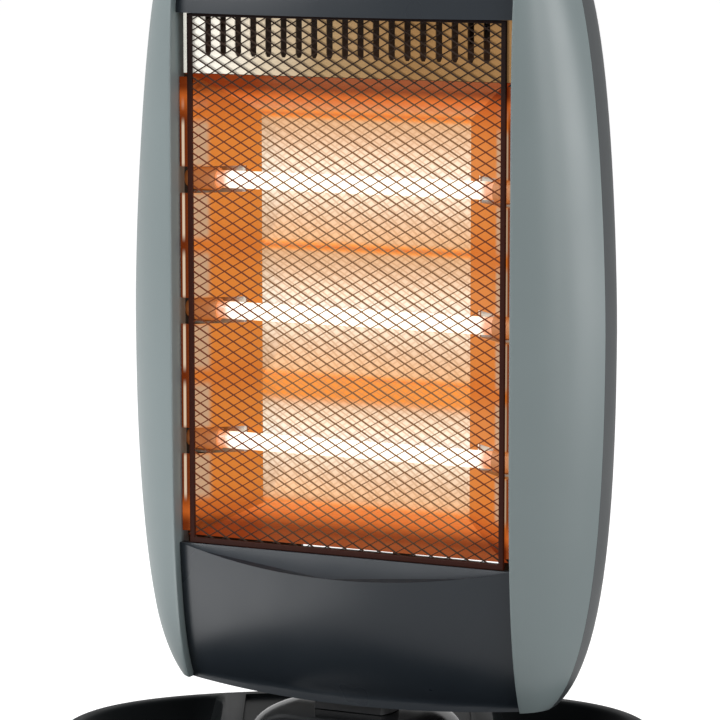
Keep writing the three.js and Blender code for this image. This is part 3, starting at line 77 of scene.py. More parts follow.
class Graph:
    """A node material with short calls for the nodes it needs."""

    def __init__(self, name, base, roughness, metallic=0.0):
        self.material = bpy.data.materials.new(name)
        self.material.use_nodes = True
        self.tree = self.material.node_tree
        self.shader = self.tree.nodes["Principled BSDF"]
        self.shader.inputs["Base Color"].default_value = (*base, 1)
        self.shader.inputs["Roughness"].default_value = roughness
        self.shader.inputs["Metallic"].default_value = metallic
        self.base = base
        self.roughness = roughness
        coords = self.tree.nodes.new("ShaderNodeTexCoord")
        self.place = coords.outputs["Object"]

    def set(self, **values):
        for key, value in values.items():
            self.shader.inputs[key.replace("_", " ")].default_value = value
        return self

    def link(self, a, b):
        self.tree.links.new(a, b)

    def stretched(self, scale, turn=0.0):
        """Object coordinates scaled on each axis, turned about Z."""
        mapping = self.tree.nodes.new("ShaderNodeMapping")
        mapping.inputs["Scale"].default_value = scale
        mapping.inputs["Rotation"].default_value = (0, 0, turn)
        self.link(self.place, mapping.inputs["Vector"])
        return mapping.outputs["Vector"]

    def noise(self, scale, detail=3.0, vector=None, rough=0.55):
        node = self.tree.nodes.new("ShaderNodeTexNoise")
        node.inputs["Scale"].default_value = scale
        node.inputs["Detail"].default_value = detail
        node.inputs["Roughness"].default_value = rough
        self.link(vector or self.place, node.inputs["Vector"])
        return node.outputs["Fac"]

    def ramp(self, source, stops):
        node = self.tree.nodes.new("ShaderNodeValToRGB")
        points = node.color_ramp.elements
        while len(points) < len(stops):
            points.new(0.5)
        for point, (at, colour) in zip(points, stops):
            point.position = at
            point.color = (*colour, 1)
        self.link(source, node.inputs["Fac"])
        return node.outputs["Color"]

    def span(self, noise, low, high):
        """A number that goes from low to high as a noise does."""
        node = self.tree.nodes.new("ShaderNodeMapRange")
        node.inputs["From Min"].default_value = NOISE_LOW
        node.inputs["From Max"].default_value = NOISE_HIGH
        node.inputs["To Min"].default_value = low
        node.inputs["To Max"].default_value = high
        self.link(noise, node.inputs["Value"])
        return node.outputs["Result"]

    def mottle(self, scale, amount, detail=4.0, vector=None):
        """Base colour that drifts lighter and darker by an amount."""
        low = tuple(c * (1 - amount) for c in self.base)
        high = tuple(min(1.0, c * (1 + amount)) for c in self.base)
        drift = self.noise(scale, detail, vector)
        colour = self.ramp(drift, [(NOISE_LOW, low), (NOISE_HIGH, high)])
        self.link(colour, self.shader.inputs["Base Color"])
        return self

    def sheen_marks(self, scale, spread):
        """Roughness that varies by a spread."""
        low = max(0.02, self.roughness - spread)
        high = min(1, self.roughness + spread)
        self.link(self.span(self.noise(scale, 2.0), low, high), self.shader.inputs["Roughness"])
        return self

    def bump(self, source, depth, strength=1.0):
        node = self.tree.nodes.new("ShaderNodeBump")
        node.inputs["Distance"].default_value = depth
        node.inputs["Strength"].default_value = strength
        self.link(source, node.inputs["Height"])
        self.link(node.outputs["Normal"], self.shader.inputs["Normal"])
        return self

    def grain(self, scale, depth, strength=0.6):
        """Fine texture of the surface."""
        return self.bump(self.noise(scale, 2.0), depth, strength)


def textured(name, base, roughness, mottle, grain, marks=None, metallic=0.0, gloss=0.5):
    """Mottle is a scale and an amount, marks a scale and a spread, grain a scale and a depth."""
    made = Graph(name, base, roughness, metallic)
    made.set(Specular_IOR_Level=gloss)
    made.mottle(*mottle)
    if marks:
        made.sheen_marks(*marks)
    made.grain(*grain)
    return made


def plastic(name, base, roughness, depth=0.12 * MM, drift=0.05, scale=1400.0, gloss=0.5):
    """A moulding: its colour drifts a little, its grain has a depth and a scale."""
    return textured(name, base, roughness, mottle=(9.0, drift, 2.0), marks=(24.0, 0.05),
                    grain=(scale, depth, 0.5), gloss=gloss)


def polished_sheet(name, base):
    """Rolled bright sheet, with fine level streaks."""
    made = Graph(name, base, 0.22, 1.0)
    rolled = made.stretched((3.0, 3.0, 260.0))
    made.mottle(1.0, 0.06, 5.0, rolled)
    made.link(made.span(made.noise(1.4, 4.0, rolled), 0.18, 0.36), made.shader.inputs["Roughness"])
    made.bump(made.noise(30.0, 3.0), 0.6 * MM, 0.5)
    return made


silver = plastic("silver_grey_paint", (0.180, 0.219, 0.223), 0.32, depth=0.04 * MM)
dark_grey = plastic("dark_grey_gloss", (0.015, 0.020, 0.026), 0.30, depth=0.01 * MM, scale=320.0, gloss=0.42)
graphite = plastic("graphite_satin", (0.042, 0.048, 0.051), 0.42, depth=0.1 * MM, gloss=0.40)
base_paint = plastic("base_gloss_black", (0.0085, 0.0098, 0.0105), 0.34, depth=0.04 * MM, gloss=0.03)
gloss_black = plastic("gloss_black", (0.006, 0.0065, 0.007), 0.16, depth=0.02 * MM, gloss=0.45)
black = plastic("black_plastic", (0.010, 0.0105, 0.012), 0.45)
white = plastic("natural_white_plastic", (0.60, 0.585, 0.54), 0.5)
rubber = plastic("rubber", (0.013, 0.013, 0.0135), 0.85, depth=0.2 * MM, drift=0.15, scale=900.0)
polished = polished_sheet("polished_sheet", (0.62, 0.52, 0.42))
steel = textured("zinc_plated_steel", (0.50, 0.50, 0.49), 0.36, metallic=1.0,
                 mottle=(60.0, 0.12), marks=(90.0, 0.1), grain=(500.0, 0.08 * MM))
ceramic = textured("steatite", (0.72, 0.67, 0.58), 0.6, mottle=(120.0, 0.07), grain=(1200.0, 0.15 * MM))

sleeving = Graph("woven_sleeving", (0.50, 0.46, 0.38), 0.8)
sleeving.mottle(300.0, 0.1)
weave = sleeving.tree.nodes.new("ShaderNodeTexWave")
weave.inputs["Scale"].default_value = 900.0
weave.inputs["Distortion"].default_value = 2.0
sleeving.link(sleeving.place, weave.inputs["Vector"])
sleeving.bump(weave.outputs["Fac"], 0.4 * MM, 0.7)

# painted lamp light: the lit lamps light what is round them, so the painted glow depends on the place in the head
LAMP_PITCH, LOWEST_LAMP = 74.56 * MM, 191.44 * MM
ROOM_LOW, ROOM_HIGH = 137.5 * MM, 400.9 * MM
LOWER_RIDGE = 228.7 * MM
LIT_HALF = 77 * MM  # the lit part of each tube, to each side

ORANGE = (0.86, 0.27, 0.045)
DEEP_ORANGE = (0.62, 0.13, 0.02)
# painted shade: the dim red glow where little lamp light falls
SHADED_GLOW = (0.16, 0.022, 0.004)
DARK = (0.0, 0.0, 0.0)


class Glow:
    """Painted lamp light: emission worked out from the place in the head's own frame."""

    def __init__(self, graph):
        self.graph = graph
        head = graph.stretched((1, 1, 1), -HEAD_TURN)
        split = graph.tree.nodes.new("ShaderNodeSeparateXYZ")
        graph.link(head, split.inputs[0])
        self.x, self.z = split.outputs["X"], split.outputs["Z"]
        self.across = self.math("ABSOLUTE", self.x)
        # 0 level with a lamp, 1 level with a ridge between two lamps
        level = self.math("DIVIDE", self.math("SUBTRACT", self.z, LOWEST_LAMP), LAMP_PITCH)
        self.aside = self.math("MULTIPLY", self.math("PINGPONG", level, 0.5), 2.0)

    def math(self, kind, a, b=None):
        node = self.graph.tree.nodes.new("ShaderNodeMath")
        node.operation = kind
        for socket, value in zip(node.inputs, (a, b)):
            if isinstance(value, (int, float)):
                socket.default_value = value
            elif value is not None:
                self.graph.link(value, socket)
        return node.outputs[0]

    def between(self, source, none, full):
        """0 at none and 1 at full, eased, whichever is larger."""
        node = self.graph.tree.nodes.new("ShaderNodeMapRange")
        node.interpolation_type = "SMOOTHSTEP"
        node.inputs["From Min"].default_value = none
        node.inputs["From Max"].default_value = full
        self.graph.link(source, node.inputs["Value"])
        return node.outputs["Result"]

    def band(self, source, rise, full, fall, end):
        """0 up to rise, 1 from full to fall, 0 again from end."""
        return self.math("MULTIPLY", self.between(source, rise, full), self.between(source, end, fall))

    def mix(self, fac, a, b):
        node = self.graph.tree.nodes.new("ShaderNodeMix")
        node.data_type = "RGBA"
        self.graph.link(fac, node.inputs["Factor"])
        for socket, value in ((node.inputs[6], a), (node.inputs[7], b)):
            if isinstance(value, tuple):
                socket.default_value = (*value, 1)
            else:
                self.graph.link(value, socket)
        return node.outputs[2]

    def ends(self, colour):
        """The colour, with painted shade: it sinks to deep orange and then to a dim red at the top and the foot
        of the lamp room, where less lamp light falls.
        """
        for none, full, sunk in (
            (ROOM_HIGH - 28 * MM, ROOM_HIGH - 12 * MM, DEEP_ORANGE),
            (ROOM_HIGH - 14 * MM, ROOM_HIGH - 7 * MM, SHADED_GLOW),
            (ROOM_LOW + 25 * MM, ROOM_LOW + 12 * MM, DEEP_ORANGE),
            (ROOM_LOW + 14 * MM, ROOM_LOW + 6 * MM, SHADED_GLOW),
        ):
            colour = self.mix(self.between(self.z, none, full), colour, sunk)
        return colour

    def shine(self, colour, strength):
        self.graph.link(colour, self.graph.shader.inputs["Emission Color"])
        self.graph.shader.inputs["Emission Strength"].default_value = strength


# troughs: painted lamp light, white behind each lamp, fading to orange and painted shade toward the ridges
lit_troughs = polished_sheet("lit_reflector", (0.10, 0.045, 0.018))
glow = Glow(lit_troughs)
lit = lit_troughs.ramp(glow.aside, [
    (0.0, (1.0, 0.93, 0.82)),
    (0.22, (1.0, 0.84, 0.66)),
    (0.55, (0.80, 0.57, 0.39)),
    (0.90, (0.66, 0.40, 0.22)),
    (0.955, ORANGE),
    (1.0, DEEP_ORANGE),
])
# painted shade: a darker orange band below the lower ridge
shade_below_ridge = glow.band(glow.z, LOWER_RIDGE - 19 * MM, LOWER_RIDGE - 11 * MM,
                        LOWER_RIDGE - 0.5 * MM, LOWER_RIDGE + 0.5 * MM)
lit = glow.mix(shade_below_ridge, lit, ORANGE)
# painted reflection: the guard's image in the polished sheet, a finer lattice than the guard's own
IMAGE_ACROSS, IMAGE_UP = 1012.0, 1400.0  # radians per metre
IMAGE_STRENGTH, RISING_SHARE = 0.48, 0.6
strands = []
for lean, share in ((1, 1.0), (-1, RISING_SHARE)):
    along = glow.math("MULTIPLY", glow.x, IMAGE_ACROSS)
    upward = glow.math("MULTIPLY", glow.z, lean * IMAGE_UP)
    wave = glow.math("SINE", glow.math("ADD", along, upward))
    strands.append(glow.math("MULTIPLY", glow.between(wave, 0.25, 1.0), share))
guard_reflection = glow.math("MAXIMUM", *strands)
lit = glow.mix(glow.math("MULTIPLY", guard_reflection, IMAGE_STRENGTH), lit, (0.42, 0.22, 0.10))
glow.shine(glow.ends(lit), 1.08)

# wings: painted lamp light, orange, darker toward the ridges, with painted highlights on the shoulders near the
# guard
SHOULDER_IN, SHOULDER_FULL = 86.5 * MM, 89.5 * MM
lit_wings = polished_sheet("lit_wing", (0.12, 0.035, 0.008))
glow = Glow(lit_wings)
lit = glow.mix(glow.between(glow.aside, 0.55, 1.0), ORANGE, (0.80, 0.22, 0.034))
beside_lamps = glow.band(glow.aside, 0.16, 0.26, 0.80, 0.97)
shoulder_highlight = glow.math("MULTIPLY", glow.between(glow.across, SHOULDER_IN, SHOULDER_FULL), beside_lamps)
lit = glow.mix(shoulder_highlight, lit, (0.66, 0.45, 0.28))
# painted shade outside the guard's hem, with only a thin broken painted highlight line
outside = glow.between(glow.across, 97 * MM, 98 * MM)
line = glow.band(glow.across, 99.6 * MM, 100.1 * MM, 101.3 * MM, 101.8 * MM)
broken = glow.math("MULTIPLY", line, beside_lamps)
lit = glow.mix(outside, lit, glow.mix(broken, SHADED_GLOW, (0.90, 0.72, 0.52)))
glow.shine(glow.ends(lit), 0.70)

quartz = Graph("lit_quartz", (0.60, 0.55, 0.50), 0.08)
quartz.mottle(200.0, 0.06)
glow = Glow(quartz)
# past the lit part the quartz gets a dim painted orange glow
unlit = glow.between(glow.across, LIT_HALF - 1 * MM, LIT_HALF + 4 * MM)
glow.shine(glow.mix(unlit, (1.0, 0.90, 0.74), (0.50, 0.15, 0.03)), 1.25)

filament = Graph("hot_filament", (0.25, 0.2, 0.16), 0.5)
filament.mottle(200.0, 0.1)
heat = filament.ramp(filament.noise(60.0, 2.0), [(0.3, (1.0, 0.62, 0.30)), (0.75, (1.0, 0.72, 0.42))])
filament.link(heat, filament.shader.inputs["Emission Color"])
filament.set(Emission_Strength=14.0)

# guard: painted lamp light, the net glows a little where the lamps and troughs are behind it, the hem hardly at
# all
guard_steel = textured("guard_steel", (0.030, 0.016, 0.010), 0.50, metallic=0.3, gloss=0.2,
                       mottle=(220.0, 0.35), marks=(300.0, 0.12), grain=(1500.0, 0.1 * MM))
glow = Glow(guard_steel)
backlit_band = glow.band(glow.z, ROOM_LOW - 2 * MM, ROOM_LOW + 30 * MM, ROOM_HIGH - 30 * MM, ROOM_HIGH)
middle = glow.band(glow.x, -58 * MM, -46 * MM, 70 * MM, 82 * MM)
backlit_tone = glow.mix(middle, (0.20, 0.036, 0.006), (0.34, 0.16, 0.06))
glow.shine(glow.mix(backlit_band, DARK, backlit_tone), 0.6)

hem_steel = textured("guard_hem", (0.010, 0.003, 0.002), 0.45, gloss=0.12,
                     mottle=(160.0, 0.3), marks=(200.0, 0.12), grain=(900.0, 0.1 * MM))
# painted lamp light on the hem, faint
glow = Glow(hem_steel)
backlit_band = glow.band(glow.z, ROOM_LOW - 10 * MM, ROOM_LOW, ROOM_HIGH - 20 * MM, ROOM_HIGH)
glow.shine(glow.mix(backlit_band, DARK, (0.060, 0.009, 0.002)), 0.35)

# the vented strip: painted lamp light in its colour and glow, pale at the left and deepening to orange-brown
# toward the right
vented = polished_sheet("vented_strip", (0.50, 0.40, 0.28))
glow = Glow(vented)
painted_strip_light = vented.ramp(glow.between(glow.x, -100 * MM, 50 * MM), [
    (0.0, (0.90, 0.87, 0.78)),
    (0.25, (0.66, 0.55, 0.40)),
    (0.6, (0.40, 0.27, 0.14)),
    (1.0, (0.30, 0.165, 0.065)),
])
vented.link(painted_strip_light, vented.shader.inputs["Base Color"])
glow.shine(painted_strip_light, 0.45)

# steatite caps with painted lamp light: an orange-tinted copy of the steatite, glowing toward the lamps
lit_ceramic = textured("lit_steatite", (0.50, 0.30, 0.16), 0.6, mottle=(120.0, 0.07), grain=(1200.0, 0.15 * MM))
glow = Glow(lit_ceramic)
inward = glow.between(glow.across, 110 * MM, 94 * MM)
glow.shine(glow.mix(inward, DARK, (0.50, 0.13, 0.02)), 0.55)

FINISH = {
    "silver_grey": silver,
    "dark_grey": dark_grey,
    "graphite": graphite,
    "gloss_black": gloss_black,
    "polished_sheet": polished,
    "guard_steel": hem_steel,
    "steel": steel,
    "quartz": quartz,
    "filament": filament,
    "ceramic": lit_ceramic,
    "black_plastic": black,
    "white_plastic": white,
    "rubber": rubber,
    "wire_sleeve": sleeving,
}

OWN_FINISH = {
    "base_shell": base_paint,
    "terminal_block": ceramic,
    "vent_strip": vented,
    "reflector": lit_troughs,
    "reflector_wing_left": lit_wings,
    "reflector_wing_right": lit_wings,
}
slots = {s["node"]: s["material_slot"] for s in frame["record"]["subparts"]}


def finish_of(name):
    return OWN_FINISH.get(name, FINISH[slots[name]])


for name, obj in nodes.items():
    finish = finish_of(name)
    for holder in obj.material_slots:
        holder.material = finish.material


# ------------------------------------------------------------------ pieces

def made_piece(name, mesh, finish, body, turned=True):
    """An object from a mesh, in the head's own frame when turned, riding on a body."""
    if turned:
        mesh.transform(HEAD)
    obj = bpy.data.objects.new(name, mesh)
    bpy.context.scene.collection.objects.link(obj)
    obj.data.materials.clear()
    obj.data.materials.append(finish.material)
    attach(obj, body)
    return obj


def mesh_of(name, points, faces, smooth=False):
    mesh = bpy.data.meshes.new(name)
    mesh.from_pydata(points, [], faces)
    mesh.validate()
    mesh.update()
    for face in mesh.polygons:
        face.use_smooth = smooth
    return mesh


def smoothed(mesh, angle):
    """Smooth shading with sharp edges where faces meet at more than an angle."""
    for face in mesh.polygons:
        face.use_smooth = True
    mesh.set_sharp_from_angle(angle=math.radians(angle))
    return mesh


def softened(obj, width):
    """Small rounded edges, which catch the light."""
    bevel = obj.modifiers.new("edges", "BEVEL")
    bevel.width = width
    bevel.segments = 2
    bevel.limit_method = "ANGLE"
    bevel.angle_limit = math.radians(40)
    bevel.harden_normals = False


def dressed(name, angle=32.0, bevel=0.0, move=None):
    """A CAD node again as one welded, smoothly shaded mesh."""
    node = nodes[name]
    points = [v.co.copy() for v in node.data.vertices]
    if move:
        points = [HEAD @ move(HEAD.inverted() @ p) for p in points]
    faces = [tuple(f.vertices) for f in node.data.polygons]
    mesh = mesh_of(name + "_dressed", points, faces)
    work = bmesh.new()
    work.from_mesh(mesh)
    bmesh.ops.remove_doubles(work, verts=work.verts, dist=0.002 * MM)
    bmesh.ops.dissolve_limit(work, angle_limit=math.radians(0.5), verts=work.verts, edges=work.edges)
    work.to_mesh(mesh)
    work.free()
    smoothed(mesh, angle)
    body = body_of(node)[0]
    obj = made_piece(name + "_dressed", mesh, finish_of(name), body, turned=False)
    if bevel:
        softened(obj, bevel)
    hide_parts(name)


def metres(rings):
    return [[Vector(p) * MM for p in ring] for ring in rings]


def loft(name, rings):
    """A closed mesh through rings in millimetres, with the same number of points in each."""
    count = len(rings[0])
    points = [p for ring in metres(rings) for p in ring]
    faces = []
    for k in range(len(rings) - 1):
        for i in range(count):
            j = (i + 1) % count
            faces.append((k * count + i, k * count + j, (k + 1) * count + j, (k + 1) * count + i))
    last = (len(rings) - 1) * count
    faces.append(tuple(reversed(range(count))))
    faces.append(tuple(last + i for i in range(count)))
    mesh = mesh_of(name, points, faces)
    work = bmesh.new()
    work.from_mesh(mesh)
    bmesh.ops.recalc_face_normals(work, faces=work.faces)
    work.to_mesh(mesh)
    work.free()
    return mesh


def block(name, x, y, z):
    """A box between two millimetre values on each axis."""
    points = [(a * MM, b * MM, c * MM) for c in z for b in y for a in x]
    faces = [(0, 2, 3, 1), (4, 5, 7, 6), (0, 1, 5, 4), (1, 3, 7, 5), (3, 2, 6, 7), (2, 0, 4, 6)]
    return mesh_of(name, points, faces)


def circle(radius, sides):
    turns = [2 * math.pi * k / sides for k in range(sides)]
    return [(radius * math.cos(a), radius * math.sin(a)) for a in turns]


def upright_rod(name, radius, low, high, sides=48):
    ring = circle(radius, sides)
    return loft(name, [[(a, b, z) for a, b in ring] for z in (low, high)])


def level_rod(name, radius, front, back, x, z, sides):
    """A cylinder that runs from front to back."""
    ring = circle(radius, sides)
    return loft(name, [[(x + a, y, z + b) for a, b in ring] for y in (front, back)])


def carved(mesh, steps):
    """The mesh after boolean steps, each a mode and a list of meshes."""
    scene = bpy.context.scene.collection
    body = bpy.data.objects.new("carving", mesh)
    scene.objects.link(body)
    tools = []
    for mode, cutters in steps:
        for cutter in cutters:
            tool = bpy.data.objects.new("tool", cutter)
            scene.objects.link(tool)
            tools.append(tool)
            step = body.modifiers.new("step", "BOOLEAN")
            step.operation = mode
            step.solver = "EXACT"
            step.object = tool
    bpy.context.view_layer.update()
    graph = bpy.context.evaluated_depsgraph_get()
    made = bpy.data.meshes.new_from_object(body.evaluated_get(graph))
    made.name = mesh.name
    for obj in [body, *tools]:
        bpy.data.objects.remove(obj)
    return made


def joined(name, *meshes):
    points, faces = [], []
    for mesh in meshes:
        start = len(points)
        points += [v.co.copy() for v in mesh.vertices]
        faces += [tuple(start + i for i in f.vertices) for f in mesh.polygons]
    return mesh_of(name, points, faces)


# the head's barrel form, in the head's own frame, in millimetres as the CAD has it
HEAD_FOOT, LID_TOP, LID_SEAM, MIDDLE = 51.5, 488.0, 474.0, 261.98
RISE, DROP = LID_TOP + 8 - MIDDLE, MIDDLE - HEAD_FOOT + 13.5
HALF_WIDTH, SEAM_Y = 145.3, 9.0
FRONT_REACH, REAR_REACH, REAR_FLAT = 36.0, 58.0, 7.0
REAR_POWER = 2.8  # how square the back is in plan
MOUTH_HALF, MOUTH_BOTTOM, MOUTH_TOP = 103.0, 133.0, 434.7
WALL, FIT = 2.4, 0.3


def fullness(z, upper, lower):
    """How much of its full reach the form has at a height, from a power and a root for each half."""
    span, power, root = (RISE, *upper) if z > MIDDLE else (DROP, *lower)
    return max(0.0, 1 - abs((z - MIDDLE) / span) ** power) ** (1 / root)


def half_width(z):
    return HALF_WIDTH * fullness(z, (1.5, 10.4), (2.4, 8.3))


def edge_y(z):
    return SEAM_Y - FRONT_REACH * fullness(z, (8, 2.2), (4, 2.06))


def back_y(z):
    return SEAM_Y + REAR_REACH * fullness(z, (8, 2), (5, 2.5))


def eased(low, high, count):
    """Steps from low to high that lie closer at both ends."""
    return [low + (high - low) * (1 - math.cos(math.pi * k / count)) / 2 for k in range(count + 1)]


def bow(x):
    """1 in the middle of the mouth, 0 at its sides."""
    return 1 - (x / MOUTH_HALF) ** 2


def cheek_point(z, t, inset=0.0):
    """A point of the cheek, from the mouth at 0 to the seam with the rear cover at 1."""
    front = Vector((MOUTH_HALF, edge_y(z) + inset))
    seam = Vector((half_width(z) - inset, SEAM_Y))
    along = seam - front
    bulge = 5 * min(1, along.length / 40) * 4 * t * (1 - t)
    out = Vector((along.y, -along.x)).normalized() * bulge
    place = front + along * t + out
    return Vector((place.x, place.y, z))


def back_point(z, t, inset=0.0):
    """A point of the back, from the side at 0 to the middle at 1."""
    start = SEAM_Y + REAR_FLAT
    reach = max(0.5, back_y(z) - inset - start)
    angle = t * math.pi / 2
    x = (half_width(z) - inset) * max(0.0, math.cos(angle)) ** (2 / REAR_POWER)
    return Vector((0 if t == 1 else x, start + reach * math.sin(angle) ** (2 / REAR_POWER), z))


def surface_y(x, z):
    """Where the back's outer face lies."""
    start = SEAM_Y + REAR_FLAT
    round_off = 1 - (abs(x) / half_width(z)) ** REAR_POWER
    return start + (back_y(z) - start) * round_off ** (1 / REAR_POWER)


def panel_y(x, z):
    """Where the outer face of the dark panels lies."""
    return edge_y(max(z, 54.0)) + 6 - 12 * bow(x)


def both_sides(right):
    """A run of points on the right, carried on over its last point to the left."""
    return right + [Vector((-p.x, p.y, p.z)) for p in reversed(right)][1:]


def outline(level, inset, z, front=24, cheek=14, back=26):
    """The whole head in plan, anticlockwise from above."""
    points = []
    for k in range(front + 1):
        x = -MOUTH_HALF + 2 * MOUTH_HALF * k / front
        points.append(Vector((x, edge_y(z) + inset - 6 * bow(x), level)))
    right = [cheek_point(z, k / cheek, inset) for k in range(1, cheek + 1)]
    right += [back_point(z, k / back, inset) for k in range(back + 1)]
    return points + both_sides([Vector((p.x, p.y, level)) for p in right])


CORNER = 0.03  # share of the cheek that its soft inner corner takes
JAMB_DEPTH = 17


def cheek_mesh(side):
    """A cheek's outer skin, its inner skin and the jamb beside the mouth."""
    rings = []
    for z in eased(HEAD_FOOT, LID_SEAM - FIT, 60):
        rim = Vector((MOUTH_HALF, edge_y(z) + 1.5, z))
        corner, wide = cheek_point(z, 0.0), cheek_point(z, CORNER)
        outer = [rim]
        for t in (0.25, 0.5, 0.75):
            outer.append(rim.lerp(corner, t).lerp(corner.lerp(wide, t), t))
        outer += [cheek_point(z, CORNER + (1 - CORNER) * k / 18) for k in range(19)]
        outer[-1].y -= FIT / 2
        inner = [cheek_point(z, 1 - k / 8, WALL) for k in range(9)]
        inner[0].y -= FIT / 2
        inner[-1].x = MOUTH_HALF + WALL
        back = min(edge_y(z) + JAMB_DEPTH, SEAM_Y - 2)
        jamb = [Vector((MOUTH_HALF + WALL, back, z)), Vector((MOUTH_HALF, back, z))]
        rings.append([Vector((side * p.x, p.y, p.z)) for p in outer + inner + jamb])
    return smoothed(loft("cheek", rings), 38)


PANEL_HALF = MOUTH_HALF - FIT
ACROSS = [-PANEL_HALF + 2 * PANEL_HALF * k / 40 for k in range(41)]


def bowed(name, low, high, levels):
    """A bowed wall across the mouth, between two edges that are given as heights over x."""
    def row(t, inset, xs):
        points = []
        for x in xs:
            z = low(x) + (high(x) - low(x)) * t
            points.append(Vector((x, panel_y(x, z) + inset, z)))
        return points

    steps = eased(0, 1, levels)
    return loft(name, [row(t, 0, ACROSS) + row(t, WALL, ACROSS[::-1]) for t in steps])


SCOOP = 11.0  # how far the shelf's front edge dips in the middle
SHELF_Y, LEDGE_BACK = -18.6, -14.0


def lower_panel_mesh():
    """The panel below the lamps, with the shelf that is scooped toward its front edge."""
    skin = bowed("skin", lambda x: 47.5 + 4 * (1 - bow(x)), lambda x: MOUTH_BOTTOM - SCOOP * bow(x), 34)
    rings = []
    for x in ACROSS:
        edge = MOUTH_BOTTOM - SCOOP * bow(x)
        rise = MOUTH_BOTTOM - edge
        front = min(panel_y(x, edge), SHELF_Y - 1) + 0.6
        section = [(front, edge)]
        for t in (i / 8 for i in range(1, 8)):
            sag = 0.9 * rise / SCOOP * math.sin(math.pi * t)
            section.append((front + (SHELF_Y - front) * t, edge + rise * t - sag))
        section += [
            (SHELF_Y, MOUTH_BOTTOM),
            (LEDGE_BACK, MOUTH_BOTTOM),
            (LEDGE_BACK, MOUTH_BOTTOM - WALL),
            (SHELF_Y + 1, MOUTH_BOTTOM - WALL),
            (front, edge - WALL),
        ]
        rings.append([Vector((x, y, z)) for y, z in section])
    return smoothed(joined("lower_panel", skin, loft("shelf", rings)), 38)


def brow_mesh():
    """The panel above the lamps, with the ledge over the mouth."""
    skin = bowed("skin", lambda x: MOUTH_TOP, lambda x: LID_SEAM - FIT, 18)
    ring = [(x, panel_y(x, MOUTH_TOP) + 0.8) for x in ACROSS]
    ring += [(PANEL_HALF, LEDGE_BACK), (-PANEL_HALF, LEDGE_BACK)]
    ledge = loft("ledge", [[(x, y, z) for x, y in ring] for z in (MOUTH_TOP, MOUTH_TOP + WALL)])
    return smoothed(joined("brow", skin, ledge), 38)


CONTROL_HALF, CONTROL_FRONT, CONTROL_BACK = 46, -3, 29
CONTROL_FLOOR = LID_TOP - 7
SWITCHES_X, SWITCH_HALF, SWITCH_FRONT, SWITCH_BACK = (-27, 0, 27), 7.8, 1.5, 24.5


def top_mesh():
    """The top cover: hollow, with a soft shoulder, the control recess and the switches' openings."""
    rings = [outline(z, 0, z) for z in eased(LID_SEAM, LID_TOP, 16)[:-1]]
    for k in range(1, 6):
        a = k / 5 * math.pi / 2
        level = LID_TOP - 0.9 * (1 - math.sin(a))
        rings.append(outline(level, 1.6 * (1 - math.cos(a)), LID_TOP))
    outer = loft("top_cover", rings)
    below = LID_SEAM - 1
    hollow = loft("hollow", [
        outline(below + t * (LID_TOP - WALL - below), WALL, below + t * (LID_TOP - below))
        for t in (0, 0.25, 0.5, 0.75, 1)
    ])
    recess = block("recess", (-CONTROL_HALF, CONTROL_HALF), (CONTROL_FRONT, CONTROL_BACK),
                   (CONTROL_FLOOR, 500))
    tray = block("tray", (-CONTROL_HALF - WALL, CONTROL_HALF + WALL), (CONTROL_FRONT - WALL, CONTROL_BACK + WALL),
                 (CONTROL_FLOOR - WALL, LID_TOP - 2))
    openings = [
        block("opening", (x - SWITCH_HALF, x + SWITCH_HALF), (SWITCH_FRONT, SWITCH_BACK), (470, 484))
        for x in SWITCHES_X
    ]
    steps = [("DIFFERENCE", [hollow]), ("UNION", [tray]), ("DIFFERENCE", [recess, *openings])]
    return smoothed(carved(outer, steps), 38)


SCREWS = [(side * x, z) for side in (-1, 1) for x, z in ((118, 118), (112, 428))]
HAND_HALF, HAND_LOW, HAND_HIGH, HAND_DEPTH, HAND_ROUND = 50, 420, 450, 26, 7
LOUVRE_FIELDS = ((292.0, 9), (83.5, 4))  # lowest louvre and number of rows
LOUVRE_PITCH, LOUVRE_HEIGHT, LOUVRE_NEAR, LOUVRE_FAR = 12, 3.6, 6, 64


def louvres():
    """All louvre openings as one cutter."""
    openings = []
    for start, rows in LOUVRE_FIELDS:
        for row in range(rows):
            z = start + row * LOUVRE_PITCH
            for across in ((LOUVRE_NEAR, LOUVRE_FAR), (-LOUVRE_FAR, -LOUVRE_NEAR)):
                openings.append(block("louvre", across, (38, 90), (z, z + LOUVRE_HEIGHT)))
    return joined("louvres", *openings)


def hand_recess():
    """The recess for a hand and the tray that closes it from inside."""
    back = back_y((HAND_LOW + HAND_HIGH) / 2)
    tray = block("tray", (-HAND_HALF - WALL, HAND_HALF + WALL), (back - HAND_DEPTH - WALL, back - 6),
                 (HAND_LOW - WALL, HAND_HIGH + WALL))
    pocket = block("pocket", (-HAND_HALF, HAND_HALF), (back - HAND_DEPTH, back + 8), (HAND_LOW, HAND_HIGH))
    work = bmesh.new()
    work.from_mesh(pocket)
    inward = [e for e in work.edges if abs((e.verts[0].co - e.verts[1].co).y) > 10 * MM]
    bmesh.ops.bevel(work, geom=inward, offset=HAND_ROUND * MM, segments=6, affect="EDGES", profile=0.5)
    work.to_mesh(pocket)
    work.free()
    return tray, pocket


def rear_mesh():
    """The rear cover with its louvres, hand recess and screw wells."""
    rings = []
    for z in eased(HEAD_FOOT, LID_SEAM - FIT, 48):
        skins = []
        for inset in (0, WALL):
            seam = Vector((half_width(z) - inset, SEAM_Y + FIT / 2, z))
            skins.append(both_sides([seam] + [back_point(z, k / 26, inset) for k in range(27)]))
        outer, inner = skins
        rings.append(outer + inner[::-1])
    shell = loft("rear_cover", rings)
    tray, pocket = hand_recess()
    cups, wells = [], []
    for x, z in SCREWS:
        seat = surface_y(x, z) - 3
        wells.append(level_rod("well", 4.2, seat, seat + 20, x, z, 32))
        cups.append(level_rod("cup", 6, seat - WALL, seat + 0.4, x, z, 32))
    steps = [("UNION", [tray, *cups]), ("DIFFERENCE", [pocket, louvres(), *wells])]
    return smoothed(carved(shell, steps), 36)


